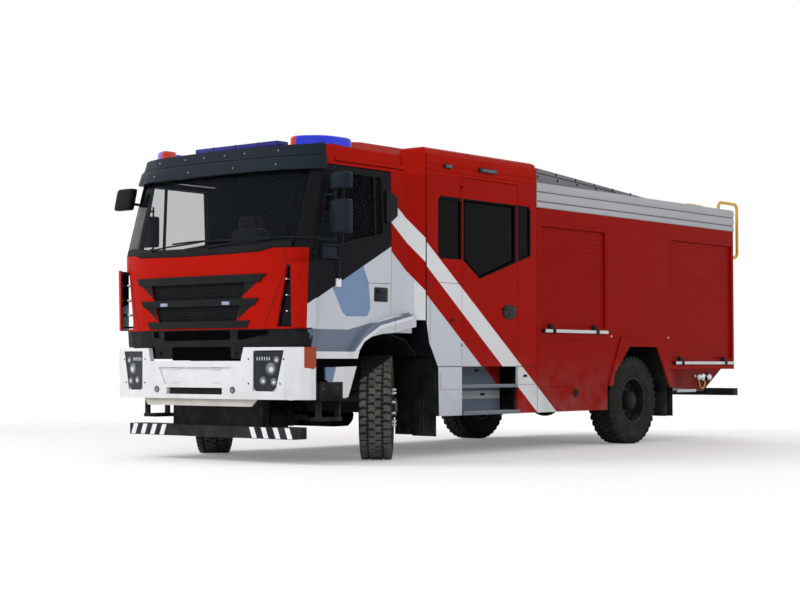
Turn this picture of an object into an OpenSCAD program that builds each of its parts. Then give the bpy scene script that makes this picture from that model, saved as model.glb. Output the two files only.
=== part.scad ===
// Fire tanker truck: a two-seat cab, a crew cabin and a closed tank body on a two-axle chassis.
// X runs forward, Y to the truck's left, Z up.
// Stations are counted along X from a datum just behind the front axle, and heights from a level
// that lies the axle height below the axles. The whole truck is then centred on the origin and
// stood on its tyres.

/* [Overall] */
// Station of the foremost face, the middle of the bumper
front_reach = 1420; // [1300:5:1500]
// Half width over the crew cabin and the tank body
body_half = 1270; // [1200:5:1275]
// Running clearance of a pin in its bore
run_clear = 0.05; // [0.01:0.01:0.1]
// Gap round every door
door_gap = 6; // [5:0.5:10]
// Radius of a door hinge's pin
hinge_pin = 4.5; // [4:0.25:5]
// Radius of a door hinge's knuckles
hinge_r = 7.5; // [7:0.25:8]
// Length of a door hinge
hinge_h = 70; // [60:1:90]
// Thickness of every pane
glass_t = 8; // [5:1:12]
// Depth of a pane behind the outer face
glass_inset = 16; // [5:1:30]

/* [Wheels] */
// Tyre outside diameter
tyre_d = 1000; // [900:5:1100]
// Tyre section width
tyre_w = 310; // [250:5:400]
// Flat tread width
tread_w = 264; // [200:2:300]
// Height of the shoulder's slope below the tread
shoulder_drop = 34; // [10:1:60]
// Rim bead seat diameter
rim_d = 508; // [480:1:580]
// Rim lip height above the bead seat
rim_lip = 16; // [8:1:24]
// Rim barrel wall
rim_wall = 14; // [8:1:20]
// Wheel disc thickness
disc_t = 14; // [8:1:20]
// Outward set of the front wheel's disc from the tyre's middle plane
disc_set_front = 118; // [60:2:130]
// Outward set of the rear wheel's disc from the tyre's middle plane
disc_set_rear = 24; // [0:2:80]
// Hub radius
hub_r = 112; // [90:1:140]
// Radius of the hand holes in a wheel disc
hand_hole_r = 24; // [15:1:30]
// Number of hand holes
hand_holes = 10; // [6:1:12]
// Spindle radius at every wheel
spindle_r = 45; // [35:1:55]

/* [Axles] */
// Height of the axles in the drawing
axle_h = 500; // [450:5:560]
// Station of the front axle
front_axle = 60; // [0:5:120]
// Wheelbase, front axle to rear axle
wheelbase = 4390; // [4000:10:4800]
// Kingpin distance from the middle plane
kingpin_y = 948; // [900:2:980]
// Distance from the kingpin out to the tyre's middle plane
kingpin_offset = 110; // [100:1:160]
// Kingpin radius
kingpin_r = 25; // [18:1:32]
// Radius of the axle's fist round the kingpin
fist_r = 52; // [45:1:60]
// Height of the axle's fist
fist_h = 120; // [100:2:150]
// Gap between the fist and the knuckle's lugs
lug_gap = 5; // [5:0.5:8]
// Thickness of the knuckle's lugs and web
lug_t = 26; // [20:1:34]
// Steering angle at rest, turned to the left
steer_rest = 38; // [0:1:38]
// Distance from the middle plane to the rear tyres' middle planes
rear_wheel_y = 1082; // [1000:2:1110]
// Front axle beam height
beam_h = 100; // [70:2:115]
// Front axle beam width along the truck
beam_w = 90; // [70:2:100]
// Rear axle tube radius
rear_tube_r = 75; // [60:1:95]
// Final drive housing radius
diff_r = 205; // [160:1:240]

/* [Frame] */
// Outer face of a frame rail from the middle plane
rail_y = 400; // [350:5:420]
// Height of a frame rail
rail_h = 260; // [200:5:300]
// Flange width of a frame rail
rail_flange = 80; // [78:1:100]
// Plate thickness of a frame rail
rail_t = 9; // [6:1:14]
// Top of the frame rails
rail_top = 980; // [950:5:985]
// Distance of the rails' front ends behind the foremost face
rail_setback = 340; // [300:5:400]
// Width of a leaf spring
leaf_w = 76; // [60:2:78]
// Thickness of a leaf pack at its middle
leaf_t = 62; // [40:2:80]
// Half length of a leaf pack
leaf_half = 760; // [600:10:800]
// Half width and depth of the front underrun bar
bar_half = 1090; // [1000:5:1140]
bar_h = 108; // [80:2:140]
// Underside of the front underrun bar
bar_low = 230; // [200:2:280]

/* [Cab] */
// Station of the cab's back
cab_rear = -330; // [-380:5:-300]
// Half width of the cab at the windscreen base
cab_half = 1215; // [1150:5:1230]
// Thickness of the cab's walls and doors
cab_wall = 55; // [40:1:70]
// Underside of the cab floor
cab_floor_low = 1215; // [1212:1:1240]
// Thickness of the cab floor
cab_floor_t = 65; // [40:1:80]
// Top of the cab roof
cab_top = 3015; // [2990:5:3040]
// Forward bow of the cab front at the middle
bow = 245; // [150:5:260]
// Distance of the cab's nose behind the bumper's face
nose_gap = 15; // [5:1:30]
// Bottom of the front panel
panel_low = 1232; // [1225:1:1260]
// Base of the windscreen, at the top of the front panel
screen_low = 1965; // [1940:1:1990]
// Half width of the windscreen between the pillars
screen_half = 1120; // [1000:5:1140]
// Width of the front corner beside a door
corner_w = 65; // [50:1:90]
// Rear, bottom and top edges of the cab doors
door_rear = -10; // [-40:1:20]
door_low = 963; // [940:1:1000]
door_top = 2745; // [2700:1:2760]
// How far the wheel arch lip stands out from the cab side
lip_proud = 48; // [30:1:56]
// How far the visor stands proud of the roof front
visor_proud = 40; // [20:1:60]
// Bottom of the visor
visor_low = 2690; // [2650:1:2720]
// Gap between a corner vane and the cab, and the vane's thickness
vane_gap = 46; // [30:1:60]
vane_t = 14; // [8:1:20]
// Depth of the air duct behind a vane, into the cab's corner
duct_depth = 38; // [30:1:39]

/* [Bumper] */
// Bottom and height of the bumper
bumper_low = 591; // [560:1:620]
bumper_h = 475; // [440:1:500]
// Depth of the step down to the bumper's lower middle
bumper_step = 125; // [80:1:160]
// Half width of the flat middle
bumper_flat = 620; // [550:5:680]
// Sweep of the bumper's corners behind its face
bumper_sweep = 222; // [200:1:250]
// Half width over the bumper's corners
bumper_half = 1282; // [1240:1:1300]
// Bumper wall
bumper_t = 50; // [30:1:60]
// Length of the side return behind a corner
bumper_return = 70; // [40:1:120]
// Tow eye bore radius
tow_eye_r = 21; // [15:1:26]
// Lateral position of the tow eyes
tow_eye_y = 507; // [480:1:540]

/* [Crew cabin] */
// Gap between the cab's back and the crew cabin
crew_gap = 153; // [120:1:180]
// Lengths of the panel before the door, the door and the panel behind it
crew_fore = 567; // [520:1:620]
crew_door_w = 950; // [850:1:1000]
crew_aft = 347; // [320:1:400]
// Thickness of its walls and doors
crew_wall = 60; // [50:1:80]
// Top of the crew cabin's roof
crew_top = 3045; // [3020:5:3070]
// Underside and thickness of the floor
crew_floor_low = 990; // [985:1:1010]
crew_floor_t = 50; // [30:1:70]
// Bottom of the sill line along the crew cabin and the front lockers
sill_low = 402; // [350:2:450]
// Bottom and top of the crew doors
crew_door_low = 890; // [870:1:950]
crew_door_top = 2780; // [2700:1:2800]
// Height of the roof's rounded edge
crew_edge = 70; // [40:1:100]
// Depth of the step well under a crew door
step_depth = 270; // [200:5:300]
// Thickness of a step tread
tread_t = 30; // [20:1:40]
// Overhang of the lower tread outside the wall
tread_proud = 30; // [10:1:40]

/* [Tank body] */
// Length of the tank body
body_length = 4304; // [4200:2:4600]
// Underside of the main body
body_low = 1215; // [1212:1:1240]
// Bottom and height of the side cornice
cornice_low = 2575; // [2540:1:2600]
cornice_h = 271; // [240:1:300]
// Width of the side cornice
cornice_w = 120; // [80:5:160]
// Depth of the roof deck below the cornice's top
deck_drop = 56; // [30:1:90]
// How far the cornice's ribs stand proud of the wall
rib_proud = 14; // [8:1:30]
// Top edge of the roller shutters
shutter_top = 2385; // [2340:1:2420]
// Bottoms of the front and the rear shutters
shutter_low_front = 1270; // [1240:1:1300]
shutter_low_rear = 930; // [900:1:960]
// Depth of the shutter bays
shutter_depth = 46; // [36:1:60]
// Slat pitch of the roller shutters
slat = 48; // [30:1:80]
// Inner face of the lower lockers from the middle plane
locker_in = 450; // [430:5:600]
// Underside of the rear lockers
rear_locker_low = 853; // [820:1:900]
// How far the rear arch flares stand out from the body
flare_proud = 18; // [10:1:30]
// Bore radius of the side coupling
coupling_r = 37.5; // [32:0.5:52]

/* [Hand rails] */
// Tube radius of the hand rails
rail_tube_r = 19; // [15:1:25]
// Bend radius at the tube's middle line
rail_bend = 70; // [50:5:100]
// Height of a hand rail's loop
rail_loop_h = 680; // [600:5:750]
// Bottom of a hand rail's loop
rail_loop_low = 2270; // [2200:5:2350]
// Reach of the hand rails behind the body
rail_reach = 399; // [300:1:450]
// Distance of a rail's foot on the roof from the back of the body
rail_foot = 100; // [90:5:200]
// Gap between the two hand rails
rail_gap = 480; // [400:5:600]

/* [Hidden] */
$fn = 48;
crew_front_x = cab_rear - crew_gap;
crew_door_front = crew_front_x - crew_fore;
crew_door_rear = crew_door_front - crew_door_w;
crew_rear_x = crew_door_rear - crew_aft;
body_rear = crew_rear_x - body_length;
rear_reach = rail_reach - body_rear;
datum_x = (rear_reach - front_reach) / 2;
datum_z = tyre_d / 2 - axle_h;
rear_axle_x = front_axle - wheelbase;
rim_r = rim_d / 2;
tyre_r = tyre_d / 2;
rail_front = front_reach - rail_setback;
rail_rear = body_rear + 51;
rail_low = rail_top - rail_h;
cab_floor_top = cab_floor_low + cab_floor_t;
cab_roof_low = door_top + 10;
cab_corner = front_reach - nose_gap - bow;
door_front = cab_corner - corner_w;
crew_floor_top = crew_floor_low + crew_floor_t;
crew_roof_low = crew_door_top + door_gap;
cornice_top = cornice_low + cornice_h;
cornice_in = body_half - cornice_w;
deck = cornice_top - deck_drop;
bumper_top = bumper_low + bumper_h;
bumper_mid = bumper_top - bumper_step;
rail_out_y = cornice_in - 30;
rail_in_y = rail_out_y - rail_gap;
// Cab levels: height, set-back of the corner, narrowing of the half width
cab_levels = [[door_low, 27, 22], [panel_low, 13, 10], [screen_low, 0, 0], [visor_low, 210, 8],
  [cab_top - 85, 286, 33], [cab_top, 850, 125]];
// Rear wheel arch: distance ahead of the axle and height, outside and inside of the flare
arch_out = [[610, 672], [330, body_low], [-510, body_low], [-830, 664]];
arch_in = [[-714, 664], [-440, 1112], [160, 1112], [480, 800], [505, 672]];
// Front wheel arch: distance ahead of the axle and height, from the front to the rear
lip_in = [[474, door_low], [445, 1040], [380, 1120], [270, 1170], [120, 1198], [0, 1206]];
lip_out = [[0, 1365], [90, 1345], [270, 1278], [390, 1190], [500, 1075], [546, 1027], [546, door_low]];
// Shutter bays: front station, rear station, bottom
bays = [[crew_rear_x - 93, rear_axle_x + 640, shutter_low_front],
  [rear_axle_x - 820, body_rear + 51, shutter_low_rear]];

// A box from one corner to the opposite one
module span(a, b) {
  translate(a)
    cube(b - a);
}

// A side-view outline of stations and heights, filled from one lateral position to another
module side_prism(points, y0, y1) {
  translate([0, y1, 0])
    rotate([90, 0, 0])
      linear_extrude(height = y1 - y0)
        polygon(points);
}

// A front-view outline of lateral positions and heights, filled from one station to another
module front_prism(points, x0, x1) {
  translate([x0, 0, 0])
    rotate([90, 0, 90])
      linear_extrude(height = x1 - x0)
        polygon(points);
}

// The same thing on both sides
module both() {
  children();
  mirror([0, 1, 0])
    children();
}

// From stations to the centred frame on the ground
module placed() {
  translate([datum_x, 0, datum_z])
    children();
}

// A round tube from one point to another
module tube(a, b, r) {
  d = b - a;
  l = norm(d);
  translate(a)
    rotate([0, acos(d[2] / l), atan2(d[1], d[0])])
      cylinder(h = l, r = r);
}

// Points measured from a station
function from(x, points) = [for (p = points) [x + p[0], p[1]]];

// A list in the opposite order
function back(points) = [for (k = [len(points) - 1:-1:0]) points[k]];

// A wheel turning about +Y with its outside at +Y, its disc set outward by d and its hub ending at e
module rim(d, e) {
  b = rim_r - rim_wall;
  h = tyre_w / 2 - 12;
  bore = spindle_r + run_clear;
  rotate([-90, 0, 0])
    difference() {
      rotate_extrude()
        polygon([[bore, -15], [hub_r - 10, -15], [hub_r, d - 30], [b - 30, d], [b, d - 16], [b, -h],
          [rim_r + rim_lip, -h], [rim_r + rim_lip, -h + 14], [rim_r, -h + 14], [rim_r, h - 14],
          [rim_r + rim_lip, h - 14], [rim_r + rim_lip, h], [b, h], [b, d + disc_t - 16],
          [b - 30, d + disc_t], [hub_r, d + disc_t], [hub_r - 14, e], [bore, e]]);
      for (k = [0:hand_holes - 1])
        rotate([0, 0, k * 360 / hand_holes])
          translate([(hub_r + b - 10) / 2, 0, -tyre_w])
            cylinder(h = 2 * tyre_w, r = hand_hole_r, $fn = 20);
    }
}

module tyre() {
  h = tyre_w / 2 - 12;
  r = tyre_r;
  rotate([-90, 0, 0])
    rotate_extrude($fn = 96)
      polygon([[rim_r, -h + 14], [rim_r + rim_lip, -h + 14], [rim_r + rim_lip + 14, -h - 2],
        [rim_r + 0.45 * (r - rim_r), -tyre_w / 2], [r - shoulder_drop - 40, -tyre_w / 2 + 3],
        [r - shoulder_drop, -tyre_w / 2 + 10], [r - 6, -tread_w / 2], [r, -tread_w / 2 + 18],
        [r, tread_w / 2 - 18], [r - 6, tread_w / 2], [r - shoulder_drop, tyre_w / 2 - 10],
        [r - shoulder_drop - 40, tyre_w / 2 - 3], [rim_r + 0.45 * (r - rim_r), tyre_w / 2],
        [rim_r + rim_lip + 14, h + 2], [rim_r + rim_lip, h - 14], [rim_r, h - 14]]);
}

// The kingpins' places, steered
module at_kingpin() {
  placed()
    translate([front_axle, kingpin_y, axle_h])
      rotate([0, 0, steer_rest])
        children();
}

module at_kingpin_right() {
  placed()
    translate([front_axle, -kingpin_y, axle_h])
      rotate([0, 0, steer_rest])
        mirror([0, 1, 0])
          children();
}

// The rear wheels' places
module at_rear() {
  placed()
    translate([rear_axle_x, rear_wheel_y, axle_h])
      children();
}

module at_rear_right() {
  placed()
    translate([rear_axle_x, -rear_wheel_y, axle_h])
      mirror([0, 1, 0])
        children();
}

module front_wheel() {
  translate([0, kingpin_offset, 0])
    rim(disc_set_front, 176);
}

module front_tyre() {
  translate([0, kingpin_offset, 0])
    tyre();
}

module wheel_front_left() color([0.2, 0.2, 0.21]) at_kingpin() front_wheel();
module wheel_front_right() color([0.2, 0.2, 0.21]) at_kingpin_right() front_wheel();
module wheel_rear_left() color([0.2, 0.2, 0.21]) at_rear() rim(disc_set_rear, 126);
module wheel_rear_right() color([0.2, 0.2, 0.21]) at_rear_right() rim(disc_set_rear, 126);
module tyre_front_left() color([0.08, 0.08, 0.09]) at_kingpin() front_tyre();
module tyre_front_right() color([0.08, 0.08, 0.09]) at_kingpin_right() front_tyre();
module tyre_rear_left() color([0.08, 0.08, 0.09]) at_rear() tyre();
module tyre_rear_right() color([0.08, 0.08, 0.09]) at_rear_right() tyre();

// Front beam with its fists, and the rear axle with its final drive and spring seats
module axles() color([0.12, 0.12, 0.13])
  placed() {
    difference() {
      union() {
        span([front_axle - beam_w / 2, -kingpin_y, axle_h - beam_h / 2],
          [front_axle + beam_w / 2, kingpin_y, axle_h + beam_h / 2]);
        both()
          translate([front_axle, kingpin_y, axle_h - fist_h / 2])
            cylinder(h = fist_h, r = fist_r);
      }
      both()
        translate([front_axle, kingpin_y, axle_h - fist_h])
          cylinder(h = 2 * fist_h, r = kingpin_r + run_clear);
    }
    translate([rear_axle_x, 0, axle_h]) {
      rotate([-90, 0, 0])
        translate([0, 0, -rear_wheel_y + 70])
          cylinder(h = 2 * (rear_wheel_y - 70), r = rear_tube_r);
      rotate([-90, 0, 0])
        translate([0, 0, -rear_wheel_y - 110])
          cylinder(h = 2 * (rear_wheel_y + 110), r = spindle_r);
      sphere(r = diff_r);
      translate([100, 0, 60])
        rotate([0, 90, 0])
          cylinder(h = 230, r = 80);
      both()
        span([-70, rail_y - leaf_w - 2, 0], [70, rail_y - 2, rear_tube_r + 8]);
    }
  }

// A steering knuckle: kingpin, two lugs, a web and the spindle
module knuckle() {
  z = fist_h / 2 + lug_gap;
  w = fist_r + lug_gap + 2;
  for (s = [0, 1])
    mirror([0, 0, s])
      span([-w * 0.8, -w * 0.8, z], [w * 0.8, w + lug_t, z + lug_t]);
  span([-w * 0.8, w, -z - 1], [w * 0.8, w + lug_t, z + 1]);
  translate([0, 0, -z - lug_t])
    cylinder(h = 2 * (z + lug_t), r = kingpin_r);
  translate([0, w, 0])
    rotate([-90, 0, 0])
      cylinder(h = kingpin_offset + 150 - w, r = spindle_r);
}

module knuckle_left() color([0.15, 0.15, 0.16]) at_kingpin() knuckle();
module knuckle_right() color([0.15, 0.15, 0.16]) at_kingpin_right() knuckle();

// Leaf packs: station of the middle, height of the seat on the axle
leaf_sets = [[front_axle, axle_h + beam_h / 2], [rear_axle_x, axle_h + rear_tube_r + 8]];

module leaf_springs() color([0.14, 0.14, 0.15])
  placed()
    both()
      for (s = leaf_sets) {
        y0 = rail_y - leaf_w - 2;
        l = leaf_half;
        side_prism(from(s[0], [[-l, rail_low - 60], [-260, s[1] + 14], [-90, s[1]], [90, s[1]],
          [260, s[1] + 14], [l, rail_low - 60], [l, rail_low - 44], [250, s[1] + leaf_t],
          [-250, s[1] + leaf_t], [-l, rail_low - 44]]), y0, y0 + leaf_w);
        for (e = [-1, 1])
          span([s[0] + e * (l - 40) - 50, y0, rail_low - 52], [s[0] + e * (l - 40) + 50, y0 + leaf_w, rail_low]);
      }

module rail() {
  difference() {
    span([rail_rear, rail_y - rail_flange, rail_low], [rail_front, rail_y, rail_top]);
    span([rail_rear - 1, rail_y - rail_flange - 1, rail_low + rail_t],
      [rail_front + 1, rail_y - rail_t, rail_top - rail_t]);
  }
}

// Stations of the cross members, and of the bearers under the body
cross_stations = [rail_front - 100, crew_door_front - 100, crew_door_rear + 100, crew_rear_x - 853,
  rear_axle_x - 970, rail_rear + 160];
bearer_stations = [crew_rear_x - 253, rear_axle_x + 830, rear_axle_x - 920, body_rear + 351];

module chassis_frame() color([0.12, 0.12, 0.13])
  placed() {
    both()
      rail();
    for (x = cross_stations)
      span([x - 45, -rail_y + rail_t - 1, rail_low + 40], [x + 45, rail_y - rail_t + 1, rail_top - 60]);
    both() {
      // Hangers of the front bar, the bumper and the rear bar
      span([rail_front - 120, rail_y - rail_flange, bar_low], [rail_front - 40, rail_y, rail_low + 1]);
      intersection() {
        span([rail_front - 10, rail_y - rail_flange, bumper_low + 114], [front_reach, rail_y, 900]);
        bumper_inside();
      }
      span([rail_rear + 40, rail_y - 60, 600], [rail_rear + 110, rail_y, rail_low + 1]);
      // Guard before the radiator
      span([rail_front - 60, -1, bar_low + bar_h], [rail_front + 30, 600, 640]);
    }
  }

// Bearers of the cab, the crew cabin and the body on the rails
module bearers() color([0.12, 0.12, 0.13])
  placed() {
    both() {
      span([rail_front - 160, 250, rail_top], [rail_front - 80, rail_y, cab_floor_low]);
      span([cab_rear + 75, 330, rail_top], [cab_rear + 155, rail_y, cab_floor_low]);
      span([crew_front_x - 417, 250, rail_top], [crew_front_x - 317, rail_y, crew_floor_low]);
      span([crew_rear_x + 147, 250, rail_top], [crew_rear_x + 247, rail_y, crew_floor_low]);
    }
    for (x = bearer_stations)
      span([x - 40, -locker_in, rail_top], [x + 40, locker_in, body_low]);
  }

// Engine and gearbox on their mounts, and the propeller shaft
module driveline() color([0.2, 0.2, 0.22])
  placed() {
    span([front_axle - 310, -290, 640], [rail_front - 200, 290, cab_floor_low - 20]);
    span([crew_door_front, -200, 500], [front_axle - 309, 200, 960]);
    tube([rear_axle_x + 330, 0, axle_h + 60], [crew_door_front + 1, 0, axle_h + 60], 55);
    both() {
      span([front_axle + 240, 280, rail_low + 20], [front_axle + 340, rail_y - rail_t, rail_low + 80]);
      span([crew_door_front + 200, 190, rail_low + 20], [crew_door_front + 280, rail_y - rail_t, rail_low + 80]);
    }
  }

// One level of the cab, inset by i
module cab_section(l, i) {
  h = cab_half - l[2] - i;
  x = cab_corner - l[1] - i;
  polygon([[cab_rear + i, -h], [x, -h], [x + bow * 0.3, -h * 0.945], [x + bow * 0.56, -h * 0.84],
    [x + bow * 0.82, -h * 0.66], [x + bow * 0.95, -h * 0.4], [x + bow, 0], [x + bow * 0.95, h * 0.4],
    [x + bow * 0.82, h * 0.66], [x + bow * 0.56, h * 0.84], [x + bow * 0.3, h * 0.945], [x, h],
    [cab_rear + i, h]]);
}

// The cab's whole form, inset by i, from a given bottom
module cab_form(i, low) {
  n = len(cab_levels) - 1;
  hull()
    for (k = [0:n])
      translate([0, 0, k == 0 ? low : (k == n ? cab_top - i - 1 : cab_levels[k][0] - (k == n - 1 ? i : 0))])
        linear_extrude(height = 1)
          cab_section(cab_levels[k], i);
}

module cab_skin() {
  difference() {
    cab_form(0, door_low);
    cab_form(cab_wall, door_low - 60);
  }
}

// Side outline of a cab door, grown by e
function door_points(e) = concat([[door_front + e, door_low - e], [door_front + e, 1900 + 0.2 * e],
  [door_front - 190 + e, door_top + e], [door_rear - e, door_top + e], [door_rear - e, lip_in[5][1] + 5 - e]],
  back(from(front_axle, [for (p = lip_in) [p[0] - 0.7 * e, p[1] - 0.7 * e]])));

// Side window of a cab door
window_points = [[door_front - 233, 2690], [door_front - 87, 2020], [door_front - 435, 2020],
  [door_front - 555, 2060], [door_rear + 110, 2147], [door_rear + 140, 2690]];

// Reach of a hinge's axis beyond the panels, and the height of one end knuckle
hinge_out = hinge_r + 5.5;
hinge_end = hinge_h / 4;

// Leaf of a hinge, let into the panel beside the axis
module hinge_leaf(h) {
  linear_extrude(height = h, center = true)
    polygon([[0, hinge_r], [0, 0], [6, 1 - hinge_out], [6, -20 - hinge_out], [45, -20 - hinge_out],
      [45, 3 - hinge_out], [8, hinge_r - 2]]);
}

// Fixed half of a hinge on a panel's face: the pin, two knuckles and their leaves
module hinge_base(x, y, z) {
  translate([x, y + hinge_out, z]) {
    cylinder(r = hinge_pin, h = hinge_h, center = true);
    for (e = [-1, 1])
      translate([0, 0, e * (hinge_h - hinge_end) / 2]) {
        cylinder(r = hinge_r, h = hinge_end, center = true);
        hinge_leaf(hinge_end);
      }
  }
}

// Moving half of a hinge: the middle knuckle and its leaf, without the bore
module hinge_arm(x, y, z) {
  translate([x, y + hinge_out, z]) {
    cylinder(r = hinge_r, h = hinge_h - 2 * hinge_end - 2, center = true);
    mirror([1, 0, 0])
      hinge_leaf(hinge_h - 2 * hinge_end - 2);
  }
}

// Bore for a hinge's pin
module hinge_bore(x, y, z) {
  translate([x, y + hinge_out, z])
    cylinder(r = hinge_pin + run_clear, h = hinge_h, center = true);
}

// Hinge axes and heights of the cab doors and the crew doors
cab_hinge_x = door_front + door_gap / 2;
cab_hinges = [(bumper_top + panel_low) / 2 + 6, screen_low - 70];
crew_hinge_x = crew_door_front + door_gap / 2;
crew_hinges = [crew_door_low + 210, crew_door_top - 100];

module cab_floor() color([0.13, 0.13, 0.14])
  placed() {
    intersection() {
      cab_form(cab_wall + door_gap, door_low - 60);
      span([cab_rear - 200, -2000, cab_floor_low], [front_reach, 2000, cab_floor_top]);
    }
    intersection() {
      cab_form(cab_wall, door_low - 60);
      span([cab_rear - 200, -2000, cab_floor_low], [door_rear - door_gap, 2000, cab_floor_top]);
    }
    // Skirt under the front panel, and the ledge that joins it to the floor
    intersection() {
      cab_form(0, door_low);
      span([door_front + door_gap, -2000, cab_floor_low], [front_reach, 2000, panel_low]);
    }
    intersection() {
      cab_skin();
      union() {
        span([door_front + door_gap, -2000, bumper_top + 10], [front_reach, 2000, panel_low]);
        span([door_front + door_gap, -598, bumper_mid + 1], [front_reach, 598, bumper_top + 11]);
      }
    }
    both()
      hinge_base(cab_hinge_x, cab_half, cab_hinges[0]);
  }

// Fairing beside the gap to the crew cabin, between two heights
module fairing(z0, z1) {
  translate([0, 0, z0])
    linear_extrude(height = z1 - z0)
      polygon([[cab_rear + 140, cab_half - 14], [cab_rear, cab_half + 18], [cab_rear - crew_gap + 10, body_half - 6],
        [cab_rear - crew_gap + 10, body_half - 30], [cab_rear - 4, cab_half - 12], [cab_rear + 40, cab_half - 42],
        [cab_rear + 140, cab_half - 42]]);
}

module cab_back() color([0.75, 0.1, 0.07])
  placed() {
    intersection() {
      cab_skin();
      span([cab_rear - 200, -2000, lip_in[5][1] + 6], [door_rear - door_gap, 2000, cab_roof_low]);
    }
    both()
      fairing(lip_out[0][1] - 25, cab_roof_low);
    // Rear end of the arch lip
    both()
      difference() {
        side_prism([[door_rear - door_gap, lip_in[5][1] + 6], [door_rear - door_gap, lip_out[0][1] + 7],
          [cab_rear, lip_out[0][1] + 33], [cab_rear, lip_in[5][1] + 67]], cab_half - 40, cab_half + lip_proud);
        cab_form(cab_wall, door_low - 60);
      }
  }

module cab_pillars() color([0.1, 0.1, 0.11])
  placed()
    difference() {
      intersection() {
        cab_skin();
        span([front_reach - 920, -2000, screen_low], [front_reach, 2000, cab_roof_low]);
      }
      both()
        side_prism(door_points(door_gap), 1000, 2000);
      span([front_reach - 920, -screen_half, 1000], [front_reach, screen_half, 3000]);
    }

module cab_roof() color([0.75, 0.1, 0.07])
  placed() {
    intersection() {
      cab_skin();
      span([cab_rear - 200, -2000, cab_roof_low], [front_reach, 2000, 4000]);
    }
    both()
      difference() {
        fairing(cab_roof_low, cab_top - 35);
        cab_form(cab_wall, door_low - 60);
      }
    // Gutter over a door
    both()
      difference() {
        span([cab_rear + 130, cab_half - 60, cab_roof_low + 35], [cab_corner - 376, cab_half + 6, cab_roof_low + 65]);
        cab_form(cab_wall, door_low - 60);
      }
  }

// Lower edge of the windscreen
cowl = [[-screen_half, screen_low], [-930, screen_low], [-800, screen_low - 32], [-400, screen_low - 42],
  [0, screen_low - 46], [400, screen_low - 42], [800, screen_low - 32], [930, screen_low],
  [screen_half, screen_low]];

// Outline of the grille's opening
grille_edge = [[640, 1664], [505, 1252]];

module grille_outline() {
  front_prism([[-grille_edge[0][0], grille_edge[0][1]], [-grille_edge[1][0], grille_edge[1][1]],
    [grille_edge[1][0], grille_edge[1][1]], [grille_edge[0][0], grille_edge[0][1]]], 800, 1600);
}

// A band of the cab's outside between two insets
module cab_band(a, b) {
  difference() {
    cab_form(a, door_low);
    cab_form(b, door_low);
  }
}

module front_panel() color([0.78, 0.1, 0.07])
  placed() {
    difference() {
      intersection() {
        cab_skin();
        span([door_front + door_gap, -2000, panel_low], [front_reach, 2000, screen_low]);
      }
      grille_outline();
      front_prism(concat(cowl, [[screen_half, screen_low + 50], [-screen_half, screen_low + 50]]), 500, 1600);
      duct_outline();
    }
    both()
      hinge_base(cab_hinge_x, cab_half, cab_hinges[1]);
  }

// Front outline of the air ducts behind the corner vanes
module duct_outline() {
  both()
    front_prism([[1062, 1812], [962, panel_low + 30], [2000, panel_low + 30], [2000, 1812]], 500, 1600);
}

// Duct floors sunk into the front corners, with the vanes' brackets
module corner_ducts() color([0.08, 0.08, 0.09])
  placed()
    intersection() {
      union() {
        intersection() {
          cab_band(duct_depth, cab_wall);
          span([door_front + door_gap, -2000, panel_low], [front_reach, 2000, screen_low]);
        }
        intersection() {
          cab_band(-vane_gap, duct_depth + 1);
          both()
            for (z = [panel_low + 32, 1385, 1530, 1675, 1790])
              span([cab_corner - 30, 1100, z], [front_reach + 200, 1250, z + 18]);
        }
      }
      duct_outline();
    }

// Vanes round the front corners
module corner_vanes() color([0.78, 0.1, 0.07])
  placed()
    both()
      intersection() {
        cab_band(-vane_gap - vane_t, -vane_gap);
        span([door_front + 14, 1144, panel_low + 8], [front_reach + 200, 2000, 1830]);
      }

// Grille bars: half width at the top edge, half width at the bottom edge, top, bottom
bars = [[871, 793, 1733, 1659], [787, 737, 1513, 1450], [687, 642, 1311, 1245]];

module grille() color([0.16, 0.17, 0.18])
  placed() {
    intersection() {
      cab_band(26, 44);
      grille_outline();
    }
    intersection() {
      cab_band(-16, 0);
      for (b = bars)
        front_prism([[-b[0], b[2]], [-b[1], b[3]], [b[1], b[3]], [b[0], b[2]]], 800, 1600);
    }
  }

module windscreen() color([0.2, 0.25, 0.3, 0.35])
  placed()
    intersection() {
      cab_band(glass_inset, glass_inset + glass_t);
      front_prism(concat(cowl, [[screen_half, cab_roof_low], [-screen_half, cab_roof_low]]), 500, 1600);
    }

// Upper and lower tiers of the visor
module visor_form() {
  intersection() {
    cab_form(-visor_proud, door_low);
    span([cab_corner - 330, -cab_half - 40, visor_low], [front_reach, cab_half + 40, visor_low + 130]);
  }
  intersection() {
    cab_form(12 - visor_proud, door_low);
    span([cab_corner - 330, -cab_half - 40, visor_low + 129], [front_reach, cab_half + 40, visor_low + 255]);
  }
}

module visor() color([0.16, 0.19, 0.22])
  placed()
    difference() {
      visor_form();
      cab_form(0, door_low);
      // Room for the doors' upper corners
      both()
        span([front_reach - 1000, cab_half - 110, visor_low - 10], [door_front - 155, cab_half + 60, cab_roof_low + 2]);
    }

// Plan of a corner beacon
beacon_plan = [[-640, -45], [-640, -155], [-460, -195], [-360, -275], [-300, -425], [-150, -425],
  [-180, -255], [-280, -115], [-400, -55]];

module beacons() color([0.1, 0.15, 0.8])
  placed()
    difference() {
      union() {
        span([cab_corner - 440, -590, cab_top - 70], [cab_corner - 280, 590, cab_top + 30]);
        both()
          translate([0, 0, cab_top - 95])
            linear_extrude(height = 107)
              polygon([for (p = beacon_plan) [cab_corner + p[0], cab_half + p[1]]]);
      }
      cab_form(0, door_low);
      visor_form();
      both()
        fairing(cab_roof_low, cab_top);
    }

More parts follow.
